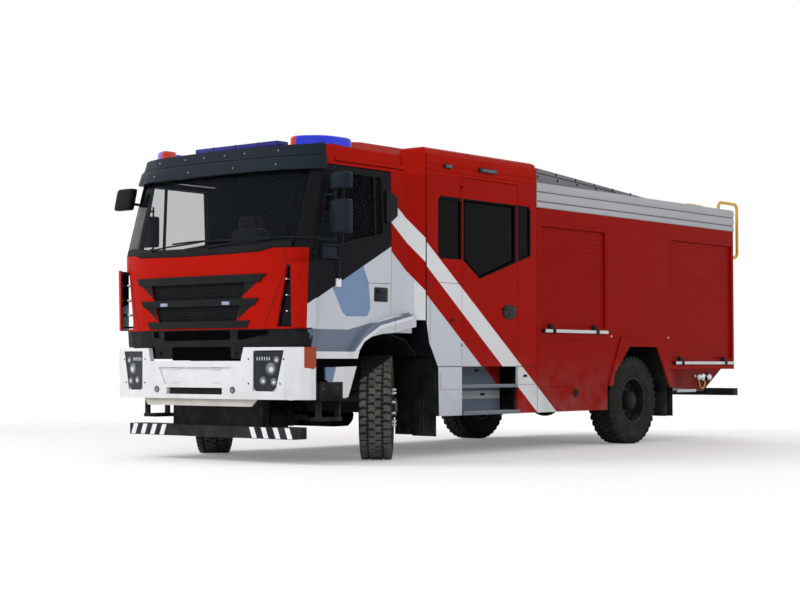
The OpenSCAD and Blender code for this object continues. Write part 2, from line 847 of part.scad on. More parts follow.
// Plan of the bumper, inset by e
function bumper_plan(e) = [[front_reach - bumper_sweep - bumper_return, -bumper_half + e],
  [front_reach - bumper_sweep, -bumper_half + e], [front_reach - 160 - 0.8 * e, -bumper_half + 70 + 0.6 * e],
  [front_reach - 94 - e, 0.3 * e - bumper_half + 210], [front_reach - 14 - e, -bumper_flat], [front_reach - e, 0],
  [front_reach - 14 - e, bumper_flat], [front_reach - 94 - e, bumper_half - 210 - 0.3 * e],
  [front_reach - 160 - 0.8 * e, bumper_half - 70 - 0.6 * e], [front_reach - bumper_sweep, bumper_half - e],
  [front_reach - bumper_sweep - bumper_return, bumper_half - e]];

module bumper_inside() {
  linear_extrude(height = 2000)
    polygon(concat(bumper_plan(bumper_t), [[front_reach - 800, bumper_half - bumper_t],
      [front_reach - 800, -bumper_half + bumper_t]]));
}

// Room of the corner lamps, cut with a slanted inner edge
module corner_lamp_room() {
  both()
    intersection() {
      side_prism([[front_reach - 300, bumper_top + 1], [front_reach - 300, bumper_top - 170],
        [front_reach - 260, bumper_top - 200], [front_reach - 100, bumper_top - 170],
        [front_reach - 100, bumper_top + 1]], 1000, 1500);
      front_prism([[bumper_half - 78, bumper_top + 1], [bumper_half - 66, bumper_top - 210],
        [bumper_half + 50, bumper_top - 210], [bumper_half + 50, bumper_top + 1]], 800, 1600);
    }
}

// Front outline of a head lamp
lamp_points = [[742, 1036], [742, 668], [985, 664], [1072, 1038]];

module bumper() color([0.93, 0.93, 0.94])
  placed() {
    difference() {
      translate([0, 0, bumper_low])
        linear_extrude(height = bumper_h)
          polygon(bumper_plan(0));
      bumper_inside();
      front_prism([[-640, bumper_top + 1], [-606, bumper_mid], [606, bumper_mid], [640, bumper_top + 1]], 800, 1600);
      both()
        front_prism(lamp_points, 800, 1600);
      front_prism([[-486, 884], [-401, 725], [401, 725], [486, 884]], front_reach - 26, front_reach + 10);
      span([front_reach - 120, -372, 632], [front_reach + 10, 372, 694]);
      both()
        translate([front_reach - 120, tow_eye_y, 676])
          rotate([0, 90, 0])
            cylinder(h = 200, r = tow_eye_r);
      corner_lamp_room();
    }
    // Lip under the bumper, swept back
    intersection() {
      translate([0, 0, bumper_low - 66])
        linear_extrude(height = 67)
          difference() {
            polygon(bumper_plan(34));
            polygon(concat(bumper_plan(54), [[front_reach - 800, bumper_half - 54],
              [front_reach - 800, 54 - bumper_half]]));
          }
      front_prism([[-760, bumper_low + 10], [-690, bumper_low - 70], [690, bumper_low - 70], [760, bumper_low + 10]],
        800, 1600);
    }
  }

// Head lamps, corner lamps and rear lamps
module lamps() color([0.1, 0.11, 0.13])
  placed() {
    intersection() {
      translate([0, 0, bumper_low])
        linear_extrude(height = bumper_h)
          difference() {
            polygon(bumper_plan(8));
            polygon(concat(bumper_plan(bumper_t), [[front_reach - 800, bumper_half - bumper_t],
              [front_reach - 800, -bumper_half + bumper_t]]));
          }
      both()
        front_prism(lamp_points, 800, 1600);
    }
    intersection() {
      translate([0, 0, bumper_low])
        linear_extrude(height = bumper_h)
          difference() {
            polygon(bumper_plan(-3));
            polygon(concat(bumper_plan(bumper_t), [[front_reach - 800, bumper_half - bumper_t],
              [front_reach - 800, -bumper_half + bumper_t]]));
          }
      corner_lamp_room();
    }
    both()
      span([body_rear - 40, body_half - 270, 900], [body_rear, body_half - 30, 1180]);
  }

// Bars against running under, front and rear
module underrun_bars() color([0.08, 0.09, 0.1])
  placed() {
    span([rail_front - 40, -bar_half, bar_low], [rail_front + 150, bar_half, bar_low + bar_h]);
    span([body_rear - 219, 70 - body_half, 520], [body_rear - 119, body_half - 70, 610]);
    both()
      span([body_rear - 120, rail_y - 60, 530], [rail_rear + 110, rail_y, 600]);
  }

module mudguards() color([0.1, 0.1, 0.11])
  placed()
    both() {
      // Flap behind a front wheel on its arm
      span([front_axle - 715, 960, 205], [front_axle - 700, body_half - 20, 870]);
      span([front_axle - 715, 960, 869], [front_axle - 700, body_half - crew_wall - 5, crew_floor_low - 5]);
      span([front_axle - 715, rail_y, 840], [front_axle - 700, 961, 960]);
      // Liner over a front wheel, under the cab floor
      side_prism(from(front_axle, [[-540, 1010], [-380, 1150], [-120, cab_floor_low], [300, cab_floor_low], [300, 1195],
        [-110, 1195], [-370, 1132], [-530, 995]]), 640, cab_half - 75);
      // Steps and the white guard end before a front wheel
      span([front_axle + 555, 1010, 578], [front_axle + 915, cab_half - 15, 749]);
      span([front_axle + 610, 1010, 391], [front_axle + 900, cab_half - 25, 425]);
      span([front_axle + 610, 1120, 424], [front_axle + 635, cab_half - 40, 579]);
      span([front_axle + 875, 1120, 424], [front_axle + 900, cab_half - 40, 579]);
      span([front_axle + 760, rail_y, rail_low + 30], [front_axle + 800, 1011, 749]);
      side_prism(from(front_axle, [[843, 883], [417, 892], [535, 608], [625, 608], [612, 748], [800, 748], [843, 770]]),
        cab_half - 32, cab_half - 14);
      // Flap behind a rear wheel
      span([rear_axle_x - 730, 930, 300], [rear_axle_x - 716, body_half - 35, arch_in[0][1]]);
    }

module dashboard() color([0.15, 0.15, 0.16])
  placed() {
    intersection() {
      side_prism([[door_front - 215, 1700], [door_front - 165, 1900], [front_reach, 1890], [front_reach, 1700]],
        110 - cab_half, cab_half - 110);
      cab_form(cab_wall, door_low - 60);
    }
    translate([door_front - 275, 560, 1890])
      rotate([0, -35, 0]) {
        rotate_extrude()
          translate([215, 0, 0])
            circle(r = 15);
        span([-215, -20, -12], [215, 20, 12]);
        translate([0, 0, -190])
          cylinder(h = 200, r = 28);
      }
  }

// Seats: station of the front edge, lateral middle, width, height of the floor under it
seat_places = [[door_rear + 550, 560, 500, cab_floor_top], [door_rear + 550, -560, 500, cab_floor_top],
  [crew_rear_x + 567, 0, 2 * body_half - 340, crew_floor_top]];

module seats() color([0.12, 0.13, 0.16])
  placed()
    for (s = seat_places) {
      span([s[0] - 430, s[1] - s[2] / 2 + 60, s[3]], [s[0] - 60, s[1] + s[2] / 2 - 60, s[3] + 301]);
      span([s[0] - 480, s[1] - s[2] / 2, s[3] + 300], [s[0], s[1] + s[2] / 2, s[3] + 440]);
      span([s[0] - 500, s[1] - s[2] / 2, s[3] + 380], [s[0] - 380, s[1] + s[2] / 2, s[3] + 1130]);
    }

// A cab door with its part of the arch lip
module cab_door() {
  difference() {
    union() {
      intersection() {
        cab_form(0, door_low);
        side_prism(door_points(0), 900, 1500);
      }
      side_prism(concat([[door_rear, lip_in[5][1] + 5], [door_rear, lip_out[0][1] + 6]],
        from(front_axle, lip_out), from(front_axle, lip_in)), cab_half - 45, cab_half + lip_proud);
      side_prism([[front_axle + 540, door_low], [front_axle + 540, door_low + 64], [door_front, door_low + 64],
        [door_front, door_low]], cab_half - 45, cab_half + 8);
      for (z = cab_hinges)
        hinge_arm(cab_hinge_x, cab_half, z);
    }
    for (z = cab_hinges)
      hinge_bore(cab_hinge_x, cab_half, z);
    cab_form(cab_wall, door_low - 60);
    side_prism(window_points, 900, 1500);
  }
}

module cab_door_glass() {
  intersection() {
    cab_band(glass_inset, glass_inset + glass_t);
    side_prism(window_points, 900, 1500);
  }
}

// Plan of a mirror housing, from the door's front edge and the cab's side
mirror_plan = [[-255, 50], [-215, 42], [-170, 52], [-150, 84], [-146, 150], [-150, 214], [-170, 246],
  [-215, 258], [-255, 252]];

// Plan of the kerb mirror on the right
kerb_plan = [[-30, 0], [20, -5], [45, 12], [56, 60], [58, 130], [54, 205], [40, 248], [15, 258], [-30, 250]];

// The mirrors of one side on their arms, moved back by b, with a kerb mirror or a second upright one
module mirror_set(b, kerb) {
  difference() {
    union() {
      translate([-b, 0, 2100])
        linear_extrude(height = 310)
          polygon([for (p = mirror_plan) [door_front + p[0], cab_half + p[1]]]);
      span([door_front - 215 - b, cab_half + 75, 2030], [door_front - 195 - b, cab_half + 95, 2508]);
      tube([door_front - 155, cab_half - 20, 2460], [door_front - 205 - b, cab_half + 85, 2460], 14);
      tube([door_front - 65, cab_half - 20, 2050], [door_front - 205 - b, cab_half + 85, 2050], 14);
      if (kerb) {
        translate([0, 0, 2450])
          linear_extrude(height = 210)
            polygon([for (p = kerb_plan) [door_front + p[0], cab_half + p[1]]]);
        tube([door_front - 165, cab_half - 20, 2500], [door_front + 5, cab_half + 90, 2520], 14);
      } else {
        translate([0, 0, 2507])
          linear_extrude(height = 154)
            polygon([for (p = mirror_plan) [door_front + p[0], cab_half + p[1]]]);
      }
    }
    cab_form(0, door_low);
  }
}

module door_left() color([0.8, 0.81, 0.84]) placed() cab_door();
module door_right() color([0.8, 0.81, 0.84]) placed() mirror([0, 1, 0]) cab_door();
module door_glass_left() color([0.2, 0.25, 0.3, 0.35]) placed() cab_door_glass();
module door_glass_right() color([0.2, 0.25, 0.3, 0.35]) placed() mirror([0, 1, 0]) cab_door_glass();
module mirrors_left() color([0.07, 0.07, 0.08]) placed() mirror_set(0, false);
module mirrors_right() color([0.07, 0.07, 0.08]) placed() mirror([0, 1, 0]) mirror_set(140, true);

// The crew cabin's whole form, inset by i, from a given bottom
module crew_form(i, low) {
  hull() {
    span([crew_rear_x + i, -body_half + i, low], [crew_front_x - i, body_half - i, crew_top - crew_edge]);
    span([crew_rear_x + i, -body_half + i + 30, low], [crew_front_x - i - 10, body_half - i - 30, crew_top - i - 20]);
    span([crew_rear_x + i, -body_half + i + crew_edge, low],
      [crew_front_x - i - 30, body_half - i - crew_edge, crew_top - i]);
  }
}

// Sloping lower corner behind the front wheel, moved back by e
module crew_corner(e) {
  side_prism([[crew_front_x - e, 1300 + e], [crew_front_x - 40 - e, 1120], [crew_front_x - 180 - e, 880],
    [crew_front_x - 193 - e, sill_low - 20], [crew_front_x + 100, sill_low - 20], [crew_front_x + 100, 1300 + e]],
    -2000, 2000);
}

module crew_skin() {
  difference() {
    crew_form(0, sill_low);
    difference() {
      crew_form(crew_wall, sill_low - 10);
      crew_corner(40);
    }
    crew_corner(0);
    // Room for the frame under the floor
    span([crew_rear_x - 10, crew_wall - body_half, 0], [0, body_half - crew_wall, crew_floor_low]);
  }
}

function crew_door_points(e) = [[crew_door_front + e, crew_door_low - e], [crew_door_front + e, crew_door_top + e],
  [crew_door_rear - e, crew_door_top + e], [crew_door_rear - e, crew_door_low - e]];

// Panes of the crew cabin: the door's, the one before it and the one behind it
crew_window = [[crew_door_front - 44, 2550], [crew_door_rear + 60, 2550], [crew_door_rear + 60, 1985],
  [crew_door_front - 290, 1791], [crew_door_front - 44, 1957]];
front_pane = [[crew_front_x - 192, 1975], [crew_front_x - 192, 2540], [crew_door_front + 28, 2540],
  [crew_door_front + 28, 1962]];
rear_pane = [[crew_door_rear - 30, 2000], [crew_door_rear - 30, 2555], [crew_rear_x + 127, 2567],
  [crew_rear_x + 127, 2063]];

module crew_floor() color([0.2, 0.2, 0.22])
  placed() {
    difference() {
      union() {
        span([crew_rear_x + crew_wall, crew_wall + door_gap - body_half, crew_floor_low],
          [crew_front_x, body_half - crew_wall - door_gap, crew_floor_top]);
        span([crew_rear_x + crew_wall, crew_wall - body_half, crew_floor_low],
          [crew_door_rear - door_gap, body_half - crew_wall, crew_floor_top]);
        span([crew_door_front + door_gap, crew_wall - body_half, crew_floor_low],
          [crew_front_x, body_half - crew_wall, crew_floor_top]);
      }
      crew_corner(40);
    }
    // Step wells under the doors
    both() {
      span([crew_door_rear - door_gap, body_half - step_depth, sill_low],
        [crew_door_front + door_gap, body_half - step_depth + tread_t, crew_floor_low + 1]);
      span([crew_door_rear - door_gap, body_half - step_depth, 702 - tread_t],
        [crew_door_front + door_gap, body_half - 8, 702]);
      span([crew_door_rear - door_gap, body_half - step_depth, sill_low],
        [crew_door_front + door_gap, body_half + tread_proud, sill_low + tread_t + 4]);
    }
  }

module crew_walls() color([0.75, 0.1, 0.07])
  placed() {
    both()
      for (z = crew_hinges)
        hinge_base(crew_hinge_x, body_half, z);
    difference() {
      intersection() {
        crew_skin();
        union() {
          span([crew_door_front + door_gap, -2000, 0], [0, 2000, crew_roof_low]);
          span([crew_rear_x - 10, -2000, 0], [crew_door_rear - door_gap, 2000, crew_roof_low]);
        }
      }
      both() {
        side_prism(front_pane, body_half - crew_wall - 1, body_half + 1);
        side_prism(rear_pane, body_half - crew_wall - 1, body_half + 1);
      }
    }
  }

module crew_roof() color([0.75, 0.1, 0.07])
  placed() {
    intersection() {
      crew_skin();
      span([crew_rear_x - 10, -2000, crew_roof_low], [0, 2000, 4000]);
    }
    both()
      for (z = [2818, 2873])
        span([crew_rear_x, body_half - 20, z], [crew_front_x - 20, body_half + 8, z + 14]);
  }

module crew_pane(points) {
  side_prism(points, body_half - glass_inset - glass_t, body_half - glass_inset);
}

module crew_glass() color([0.1, 0.12, 0.15, 0.5])
  placed()
    both() {
      crew_pane(front_pane);
      crew_pane(rear_pane);
    }

module crew_door() {
  difference() {
    union() {
      side_prism(crew_door_points(0), body_half - crew_wall, body_half);
      for (z = crew_hinges)
        hinge_arm(crew_hinge_x, body_half, z);
    }
    side_prism(crew_window, body_half - crew_wall - 1, body_half + 1);
    for (z = crew_hinges)
      hinge_bore(crew_hinge_x, body_half, z);
  }
}

module crew_door_left() color([0.75, 0.1, 0.07]) placed() crew_door();
module crew_door_right() color([0.75, 0.1, 0.07]) placed() mirror([0, 1, 0]) crew_door();
module crew_door_glass_left() color([0.1, 0.12, 0.15, 0.5]) placed() crew_pane(crew_window);
module crew_door_glass_right() color([0.1, 0.12, 0.15, 0.5]) placed() mirror([0, 1, 0]) crew_pane(crew_window);

module bay_cuts() {
  both()
    for (b = bays)
      span([b[1], body_half - shutter_depth, b[2]], [b[0], body_half + 10, shutter_top]);
}

// Half width and bottom of the bay at the back
rear_bay_half = rail_in_y - 20;
rear_bay_low = body_low + 115;

module tank_body() color([0.75, 0.1, 0.07])
  placed()
    difference() {
      union() {
        span([body_rear, -body_half, body_low], [crew_rear_x, body_half, cornice_low]);
        span([body_rear, -cornice_in, body_low], [crew_rear_x, cornice_in, deck]);
      }
      bay_cuts();
      span([body_rear - 10, -rear_bay_half, rear_bay_low], [body_rear + shutter_depth, rear_bay_half, shutter_top]);
    }

// Lockers below the body, the rear arch flares between them and the side couplings
module side_lockers() color([0.75, 0.1, 0.07])
  placed()
    difference() {
      both() {
        side_prism(concat([[crew_rear_x, sill_low], [crew_rear_x, body_low]],
          from(rear_axle_x, [arch_out[1], arch_out[0], [610, sill_low]])), locker_in, body_half);
        side_prism(concat(from(rear_axle_x, [[-720, rear_locker_low], arch_out[2]]),
          [[body_rear, body_low], [body_rear, rear_locker_low]]), locker_in, body_half);
        side_prism(from(rear_axle_x, concat(arch_out, arch_in)), 900, body_half + flare_proud);
        side_prism(from(rear_axle_x, [[-700, rear_locker_low + 1], [-800, 640], [-1600, 585],
            [-2050, rear_locker_low + 1]]),
          800, body_half - 35);
        translate([rear_axle_x - 1690, body_half - 200, 757])
          rotate([-90, 0, 0])
            cylinder(h = 190, r = coupling_r + 14);
        span([rear_axle_x - 1730, body_half - 260, 720], [rear_axle_x - 1650, body_half - 190, rear_locker_low + 1]);
      }
      bay_cuts();
      both()
        translate([rear_axle_x - 1690, body_half - 150, 757])
          rotate([-90, 0, 0])
            cylinder(h = 190, r = coupling_r);
    }

// Heights of the ribs along the cornice
rib_heights = [57, 161];

module cornices() color([0.72, 0.73, 0.75])
  placed() {
    both() {
      span([body_rear, cornice_in, cornice_low], [crew_rear_x, body_half, cornice_top]);
      for (z = rib_heights)
        span([body_rear, body_half - 1, cornice_low + z], [crew_rear_x, body_half + rib_proud, cornice_low + z + 16]);
    }
    span([body_rear, -cornice_in - 1, deck], [body_rear + 60, cornice_in + 1, cornice_top]);
  }

module roof_plates() color([0.66, 0.67, 0.68])
  placed()
    both()
      side_prism([[crew_rear_x, deck], [crew_rear_x, crew_top + 5], [crew_rear_x - 253, crew_top - 5],
        [crew_rear_x - 2850, cornice_top + 14], [crew_rear_x - 2850, deck]], cornice_in - 110, cornice_in - 90);

// Slats of one shutter, with a bottom bar
module shutter(b) {
  n = floor((shutter_top - b[2] - 60) / slat);
  y = body_half - shutter_depth;
  span([b[1], y, b[2]], [b[0], y + 16, shutter_top]);
  for (k = [0:n - 1])
    span([b[1], y + 15, b[2] + 60 + k * slat], [b[0], y + 19, b[2] + 60 + (k + 0.9) * slat]);
  span([b[1], y + 15, b[2]], [b[0], y + 40, b[2] + 48]);
}

module shutters() color([0.7, 0.1, 0.08])
  placed() {
    both()
      for (b = bays)
        shutter(b);
    span([body_rear + 22, -rear_bay_half, rear_bay_low], [body_rear + shutter_depth, rear_bay_half, shutter_top]);
  }

// Lateral positions of the ladder's stringers
stringers = [body_half - 570, body_half - 210];

module ladder() color([0.72, 0.73, 0.75])
  placed() {
    for (y = stringers) {
      span([body_rear - 130, y - 15, 1000], [body_rear - 90, y + 15, 2240]);
      for (z = [1250, 2180])
        span([body_rear - 91, y - 15, z], [body_rear, y + 15, z + 40]);
    }
    for (k = [0:4])
      tube([body_rear - 110, stringers[0], 1060 + k * 270], [body_rear - 110, stringers[1], 1060 + k * 270], 14);
  }

// A quarter bend of round tube in the X-Z plane, about a centre, from a starting angle
module bend(c, start, r) {
  translate(c)
    rotate([90, 0, 0])
      rotate([0, 0, start])
        rotate_extrude(angle = 90)
          translate([rail_bend, 0, 0])
            circle(r = r);
}

module hand_rails() color([0.9, 0.7, 0.05])
  placed()
    for (y = [rail_in_y, rail_out_y]) {
      xf = body_rear + rail_foot;
      xb = body_rear - rail_reach + rail_tube_r;
      top = rail_loop_low + rail_loop_h;
      tube([xf, y, deck], [xf, y, top - rail_bend], rail_tube_r);
      bend([xf - rail_bend, y, top - rail_bend], 0, rail_tube_r);
      tube([xb + rail_bend, y, top], [xf - rail_bend, y, top], rail_tube_r);
      bend([xb + rail_bend, y, top - rail_bend], 90, rail_tube_r);
      tube([xb, y, rail_loop_low + rail_bend], [xb, y, top - rail_bend], rail_tube_r);
      bend([xb + rail_bend, y, rail_loop_low + rail_bend], 180, rail_tube_r);
      tube([xb + rail_bend, y, rail_loop_low], [body_rear, y, rail_loop_low], rail_tube_r);
    }

chassis_frame();
bearers();
axles();
leaf_springs();
driveline();
knuckle_left();
knuckle_right();
wheel_front_left();
wheel_front_right();
wheel_rear_left();
wheel_rear_right();
tyre_front_left();
tyre_front_right();
tyre_rear_left();
tyre_rear_right();
cab_floor();
cab_back();
cab_pillars();
cab_roof();
front_panel();
corner_ducts();
corner_vanes();
grille();
windscreen();
visor();
beacons();
bumper();
lamps();
underrun_bars();
mudguards();
dashboard();
seats();
door_left();
door_right();
door_glass_left();
door_glass_right();
mirrors_left();
mirrors_right();
crew_floor();
crew_walls();
crew_roof();
crew_glass();
crew_door_left();
crew_door_right();
crew_door_glass_left();
crew_door_glass_right();
tank_body();
side_lockers();
cornices();
roof_plates();
shutters();
ladder();
hand_rails();
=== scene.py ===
# Looks of the fire tanker truck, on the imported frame
import math

import bmesh
import bpy
from mathutils import Matrix, Vector


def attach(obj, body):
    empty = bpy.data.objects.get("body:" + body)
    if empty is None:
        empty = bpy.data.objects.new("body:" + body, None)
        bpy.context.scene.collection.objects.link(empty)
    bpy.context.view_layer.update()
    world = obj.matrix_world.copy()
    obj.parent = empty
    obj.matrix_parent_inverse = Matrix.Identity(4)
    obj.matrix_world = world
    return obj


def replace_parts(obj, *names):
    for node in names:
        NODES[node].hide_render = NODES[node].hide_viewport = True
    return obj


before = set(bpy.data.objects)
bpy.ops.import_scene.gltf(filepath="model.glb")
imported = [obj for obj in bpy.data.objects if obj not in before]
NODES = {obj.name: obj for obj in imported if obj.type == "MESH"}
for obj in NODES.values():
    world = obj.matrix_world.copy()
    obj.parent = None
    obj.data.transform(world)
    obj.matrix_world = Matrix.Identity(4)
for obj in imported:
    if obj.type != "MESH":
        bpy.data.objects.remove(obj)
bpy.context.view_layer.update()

# Sizes shared with the frame, in metres. DATUM turns a station into X.
DATUM = 2.815
SIDE = 1.270
CAB = 1.215
AXLE_F = DATUM + 0.060
AXLE_R = AXLE_F - 4.390
HUB_Z = 0.5
KING_Y = 0.948
KING_OUT = 0.110
STEER = math.radians(38)
REAR_Y = 1.082
TYRE_R = 0.5
TYRE_W = 0.31
RIM_R = 0.254
SCREEN_HALF = 1.118
SCREEN_TOP = 2.692
GLASS_IN = 0.016
VISOR_CUT = 0.945
VISOR_BACK = 0.925
VISOR_CUT_LOW = 2.767
CAB_HINGE_X = 1.098
BAR_BACK, BAR_FRONT = 0.722, 0.880
BODY_BACK, CREW_BACK = -6.651, -2.347
DECK = 2.790


# Camera, stage and light

def set_camera():
    cam = bpy.data.cameras.new("photo_camera")
    cam.lens = 76.2
    cam.sensor_width = 36
    cam.clip_end = 200
    obj = bpy.data.objects.new("photo_camera", cam)
    bpy.context.scene.collection.objects.link(obj)
    yaw, pitch = math.radians(219.52), math.radians(2.17)
    way = Vector((math.cos(pitch) * math.cos(yaw), math.cos(pitch) * math.sin(yaw), math.sin(pitch)))
    obj.location = (12.395 + DATUM, 11.555, 0.912)
    obj.rotation_euler = way.to_track_quat("-Z", "Y").to_euler()
    bpy.context.scene.camera = obj


def area_light(name, place, aim, size, power):
    lamp = bpy.data.lights.new(name, "AREA")
    lamp.shape = "RECTANGLE"
    lamp.size, lamp.size_y = size
    lamp.energy = power
    obj = bpy.data.objects.new(name, lamp)
    obj.location = place
    obj.rotation_euler = (Vector(aim) - Vector(place)).to_track_quat("-Z", "Y").to_euler()
    obj.visible_glossy = False
    bpy.context.scene.collection.objects.link(obj)


def add(tree, kind, operation=None, **values):
    """A new shader node, with its operation and the values of its inputs"""
    node = tree.nodes.new("ShaderNode" + kind)
    if operation:
        node.operation = operation
    for key, value in values.items():
        node.inputs[key.replace("_", " ")].default_value = value
    return node


def set_world(scene):
    """White for the camera, in mirrors and through glass, and a dim cool light for the rest"""
    world = bpy.data.worlds.new("studio")
    world.use_nodes = True
    scene.world = world
    tree = world.node_tree
    tree.nodes.clear()
    link = tree.links.new
    out = add(tree, "OutputWorld")
    seen = add(tree, "Background", Color=(1, 1, 1, 1))
    light = add(tree, "Background", Color=(0.93, 0.96, 1, 1), Strength=0.40)
    path = add(tree, "LightPath")
    either_ray = add(tree, "Math", "MAXIMUM")
    any_ray = add(tree, "Math", "MAXIMUM")
    mix = add(tree, "MixShader")
    link(path.outputs["Is Camera Ray"], either_ray.inputs[0])
    link(path.outputs["Is Glossy Ray"], either_ray.inputs[1])
    link(either_ray.outputs[0], any_ray.inputs[0])
    link(path.outputs["Is Transmission Ray"], any_ray.inputs[1])
    link(any_ray.outputs[0], mix.inputs[0])
    link(light.outputs[0], mix.inputs[1])
    link(seen.outputs[0], mix.inputs[2])
    link(mix.outputs[0], out.inputs[0])


def set_floor(scene):
    """A pale round floor that keeps the shadow and fades out into the white"""
    mesh = bpy.data.meshes.new("floor")
    bm = bmesh.new()
    bmesh.ops.create_circle(bm, cap_ends=True, segments=96, radius=60)
    bm.to_mesh(mesh)
    bm.free()
    floor = bpy.data.objects.new("floor", mesh)
    floor.location = (0, 0, -0.001)
    scene.collection.objects.link(floor)
    mat = bpy.data.materials.new("floor_pale")
    mat.use_nodes = True
    tree = mat.node_tree
    link = tree.links.new
    shader = tree.nodes["Principled BSDF"]
    shader.inputs["Base Color"].default_value = (0.86, 0.86, 0.87, 1)
    shader.inputs["Roughness"].default_value = 0.9
    shader.inputs["Emission Color"].default_value = (1, 1, 1, 1)
    path = add(tree, "LightPath")
    glow = add(tree, "Math", "MULTIPLY")
    glow.inputs[1].default_value = 0.2
    link(path.outputs["Is Camera Ray"], glow.inputs[0])
    link(glow.outputs[0], shader.inputs["Emission Strength"])
    clear = add(tree, "BsdfTransparent")
    mix = add(tree, "MixShader")
    coords = add(tree, "TexCoord")
    size = add(tree, "VectorMath", "LENGTH")
    fade = add(tree, "MapRange", From_Min=5.5, From_Max=11)
    fade.interpolation_type = "SMOOTHSTEP"
    link(coords.outputs["Object"], size.inputs[0])
    link(size.outputs["Value"], fade.inputs["Value"])
    link(fade.outputs[0], mix.inputs[0])
    link(shader.outputs[0], mix.inputs[1])
    link(clear.outputs[0], mix.inputs[2])
    link(mix.outputs[0], tree.nodes["Material Output"].inputs[0])
    mesh.materials.append(mat)


def set_stage():
    scene = bpy.context.scene
    scene.view_settings.view_transform = "Standard"
    set_world(scene)
    area_light("key", (12, -7, 9), (2, 0, 1.2), (7, 7), 1080)
    area_light("front_fill", (13, 5, 5), (3, 0, 1.4), (6, 5), 330)
    area_light("side_fill", (-1, 11, 6), (-0.5, 1, 1.2), (10, 5), 360)
    area_light("back_fill", (-10, -4, 7), (-3, 0, 1.3), (6, 5), 500)
    set_floor(scene)


# Materials

class Mat:
    """A node material built step by step; sockets are passed around as values."""

    def __init__(self, name):
        self.mat = bpy.data.materials.new(name)
        self.mat.use_nodes = True
        self.tree = self.mat.node_tree
        self.shader = self.tree.nodes["Principled BSDF"]
        source = add(self.tree, "TexCoord")
        self.coords, self.normal = source.outputs["Object"], source.outputs["Normal"]

    def put(self, value, socket):
        if hasattr(value, "is_output"):
            self.tree.links.new(value, socket)
        else:
            socket.default_value = value

    def math(self, kind, a, b=0.0):
        n = add(self.tree, "Math", kind)
        self.put(a, n.inputs[0])
        self.put(b, n.inputs[1])
        return n.outputs[0]

    def part(self, vector, k):
        n = add(self.tree, "SeparateXYZ")
        self.put(vector, n.inputs[0])
        return n.outputs[k]

    def axis(self, k):
        return self.part(self.coords, k)

    def faces(self, k, level):
        """1 where the surface's normal points along an axis beyond a level"""
        return self.math("GREATER_THAN", self.part(self.normal, k), level)

    def plane(self, normal, level):
        """1 where the point lies beyond the plane"""
        n = add(self.tree, "VectorMath", "DOT_PRODUCT")
        self.put(self.coords, n.inputs[0])
        n.inputs[1].default_value = normal
        return self.math("GREATER_THAN", n.outputs["Value"], level)

    def both(self, *masks):
        out = masks[0]
        for m in masks[1:]:
            out = self.math("MULTIPLY", out, m)
        return out

    def either(self, a, b):
        return self.math("MAXIMUM", a, b)

    def flip(self, a):
        return self.math("SUBTRACT", 1.0, a)

    def mix(self, mask, a, b, blend="MIX"):
        n = add(self.tree, "Mix")
        n.data_type = "RGBA"
        n.blend_type = blend
        self.put(mask, n.inputs["Factor"])
        for value, socket in ((a, n.inputs[6]), (b, n.inputs[7])):
            self.put((*value, 1) if isinstance(value, tuple) else value, socket)
        return n.outputs[2]

    def noise(self, scale, detail=3.0, stretch=None):
        n = add(self.tree, "TexNoise", Scale=scale, Detail=detail)
        vec = self.coords
        if stretch:
            m = add(self.tree, "Mapping", Scale=stretch)
            self.put(vec, m.inputs[0])
            vec = m.outputs[0]
        self.put(vec, n.inputs["Vector"])
        return n.outputs["Fac"]

    def ramp(self, value, low, high, a=0.0, b=1.0):
        n = add(self.tree, "MapRange", From_Min=low, From_Max=high, To_Min=a, To_Max=b)
        self.put(value, n.inputs["Value"])
        return n.outputs[0]

    def patchy(self, scale, low=0.0, high=1.0):
        """A value that drifts between two limits in soft patches"""
        return self.ramp(self.noise(scale, 4.0), 0.3, 0.75, low, high)

    def tint(self, colour, zones):
        """Lays the colour of each zone over what lies below it"""
        for find, tone in zones:
            colour = self.mix(find(self), colour, tone)
        return colour

    def bump(self, height, strength, distance):
        n = add(self.tree, "Bump", Strength=strength, Distance=distance)
        self.put(height, n.inputs["Height"])
        self.put(n.outputs[0], self.shader.inputs["Normal"])

    def set(self, **values):
        for k, v in values.items():
            s = self.shader.inputs[k.replace("_", " ")]
            self.put((*v, 1) if isinstance(v, tuple) and len(v) == 3 else v, s)
        return self.mat


RED = (0.365, 0.0075, 0.0035)
# The next two are the same red paint with painted light: brighter for the lit cab front, vanes and roof, darker for the
# shaded body sides and lockers
LIT_RED = (0.44, 0.0095, 0.004)
SHADED_RED = (0.31, 0.0062, 0.0028)
SILVER = (0.63, 0.65, 0.70)
WHITE = (0.80, 0.80, 0.81)
BLACK = (0.012, 0.012, 0.014)
FRIT = (0.004, 0.0045, 0.005)
SLATE = (0.18, 0.215, 0.285)
# Painted shade: near black for inner faces, undersides and faces tucked behind the visor
DARK = (0.010, 0.010, 0.011)
CREAM = (0.62, 0.60, 0.54)
# Painted shade on the inner part of the white arch lips, beside their lit outer edge
LIP_SHADE = (0.62, 0.635, 0.67)
# Painted shade in the grooves of the roof's edge
GROOVE = (0.14, 0.14, 0.145)
ROAD_DUST = (0.22, 0.20, 0.18)
DARK_DUST = (0.16, 0.145, 0.125)


def shade(colour, k):
    return tuple(c * k for c in colour)


def painted(name, zones=(), base=RED, rough=0.36, shine=0.03):
    """Gloss paint with sharp colour zones, faint road dust low down and a fine orange-peel surface"""
    m = Mat(name)
    tone = m.mix(m.patchy(1.7), (0.93, 0.93, 0.93), (1.0, 1.0, 1.0))
    colour = m.mix(1.0, m.tint(base, zones), tone, "MULTIPLY")
    dust = m.both(m.ramp(m.axis(2), 0.35, 1.05, 0.28, 0.0), m.ramp(m.noise(6.0, 5.0), 0.35, 0.7))
    m.bump(m.noise(420.0, 2.0), 0.03, 0.0006)
    return m.set(Base_Color=m.mix(dust, colour, ROAD_DUST), Roughness=m.patchy(9.0, rough - 0.05, rough + 0.09),
                 Specular_IOR_Level=shine)


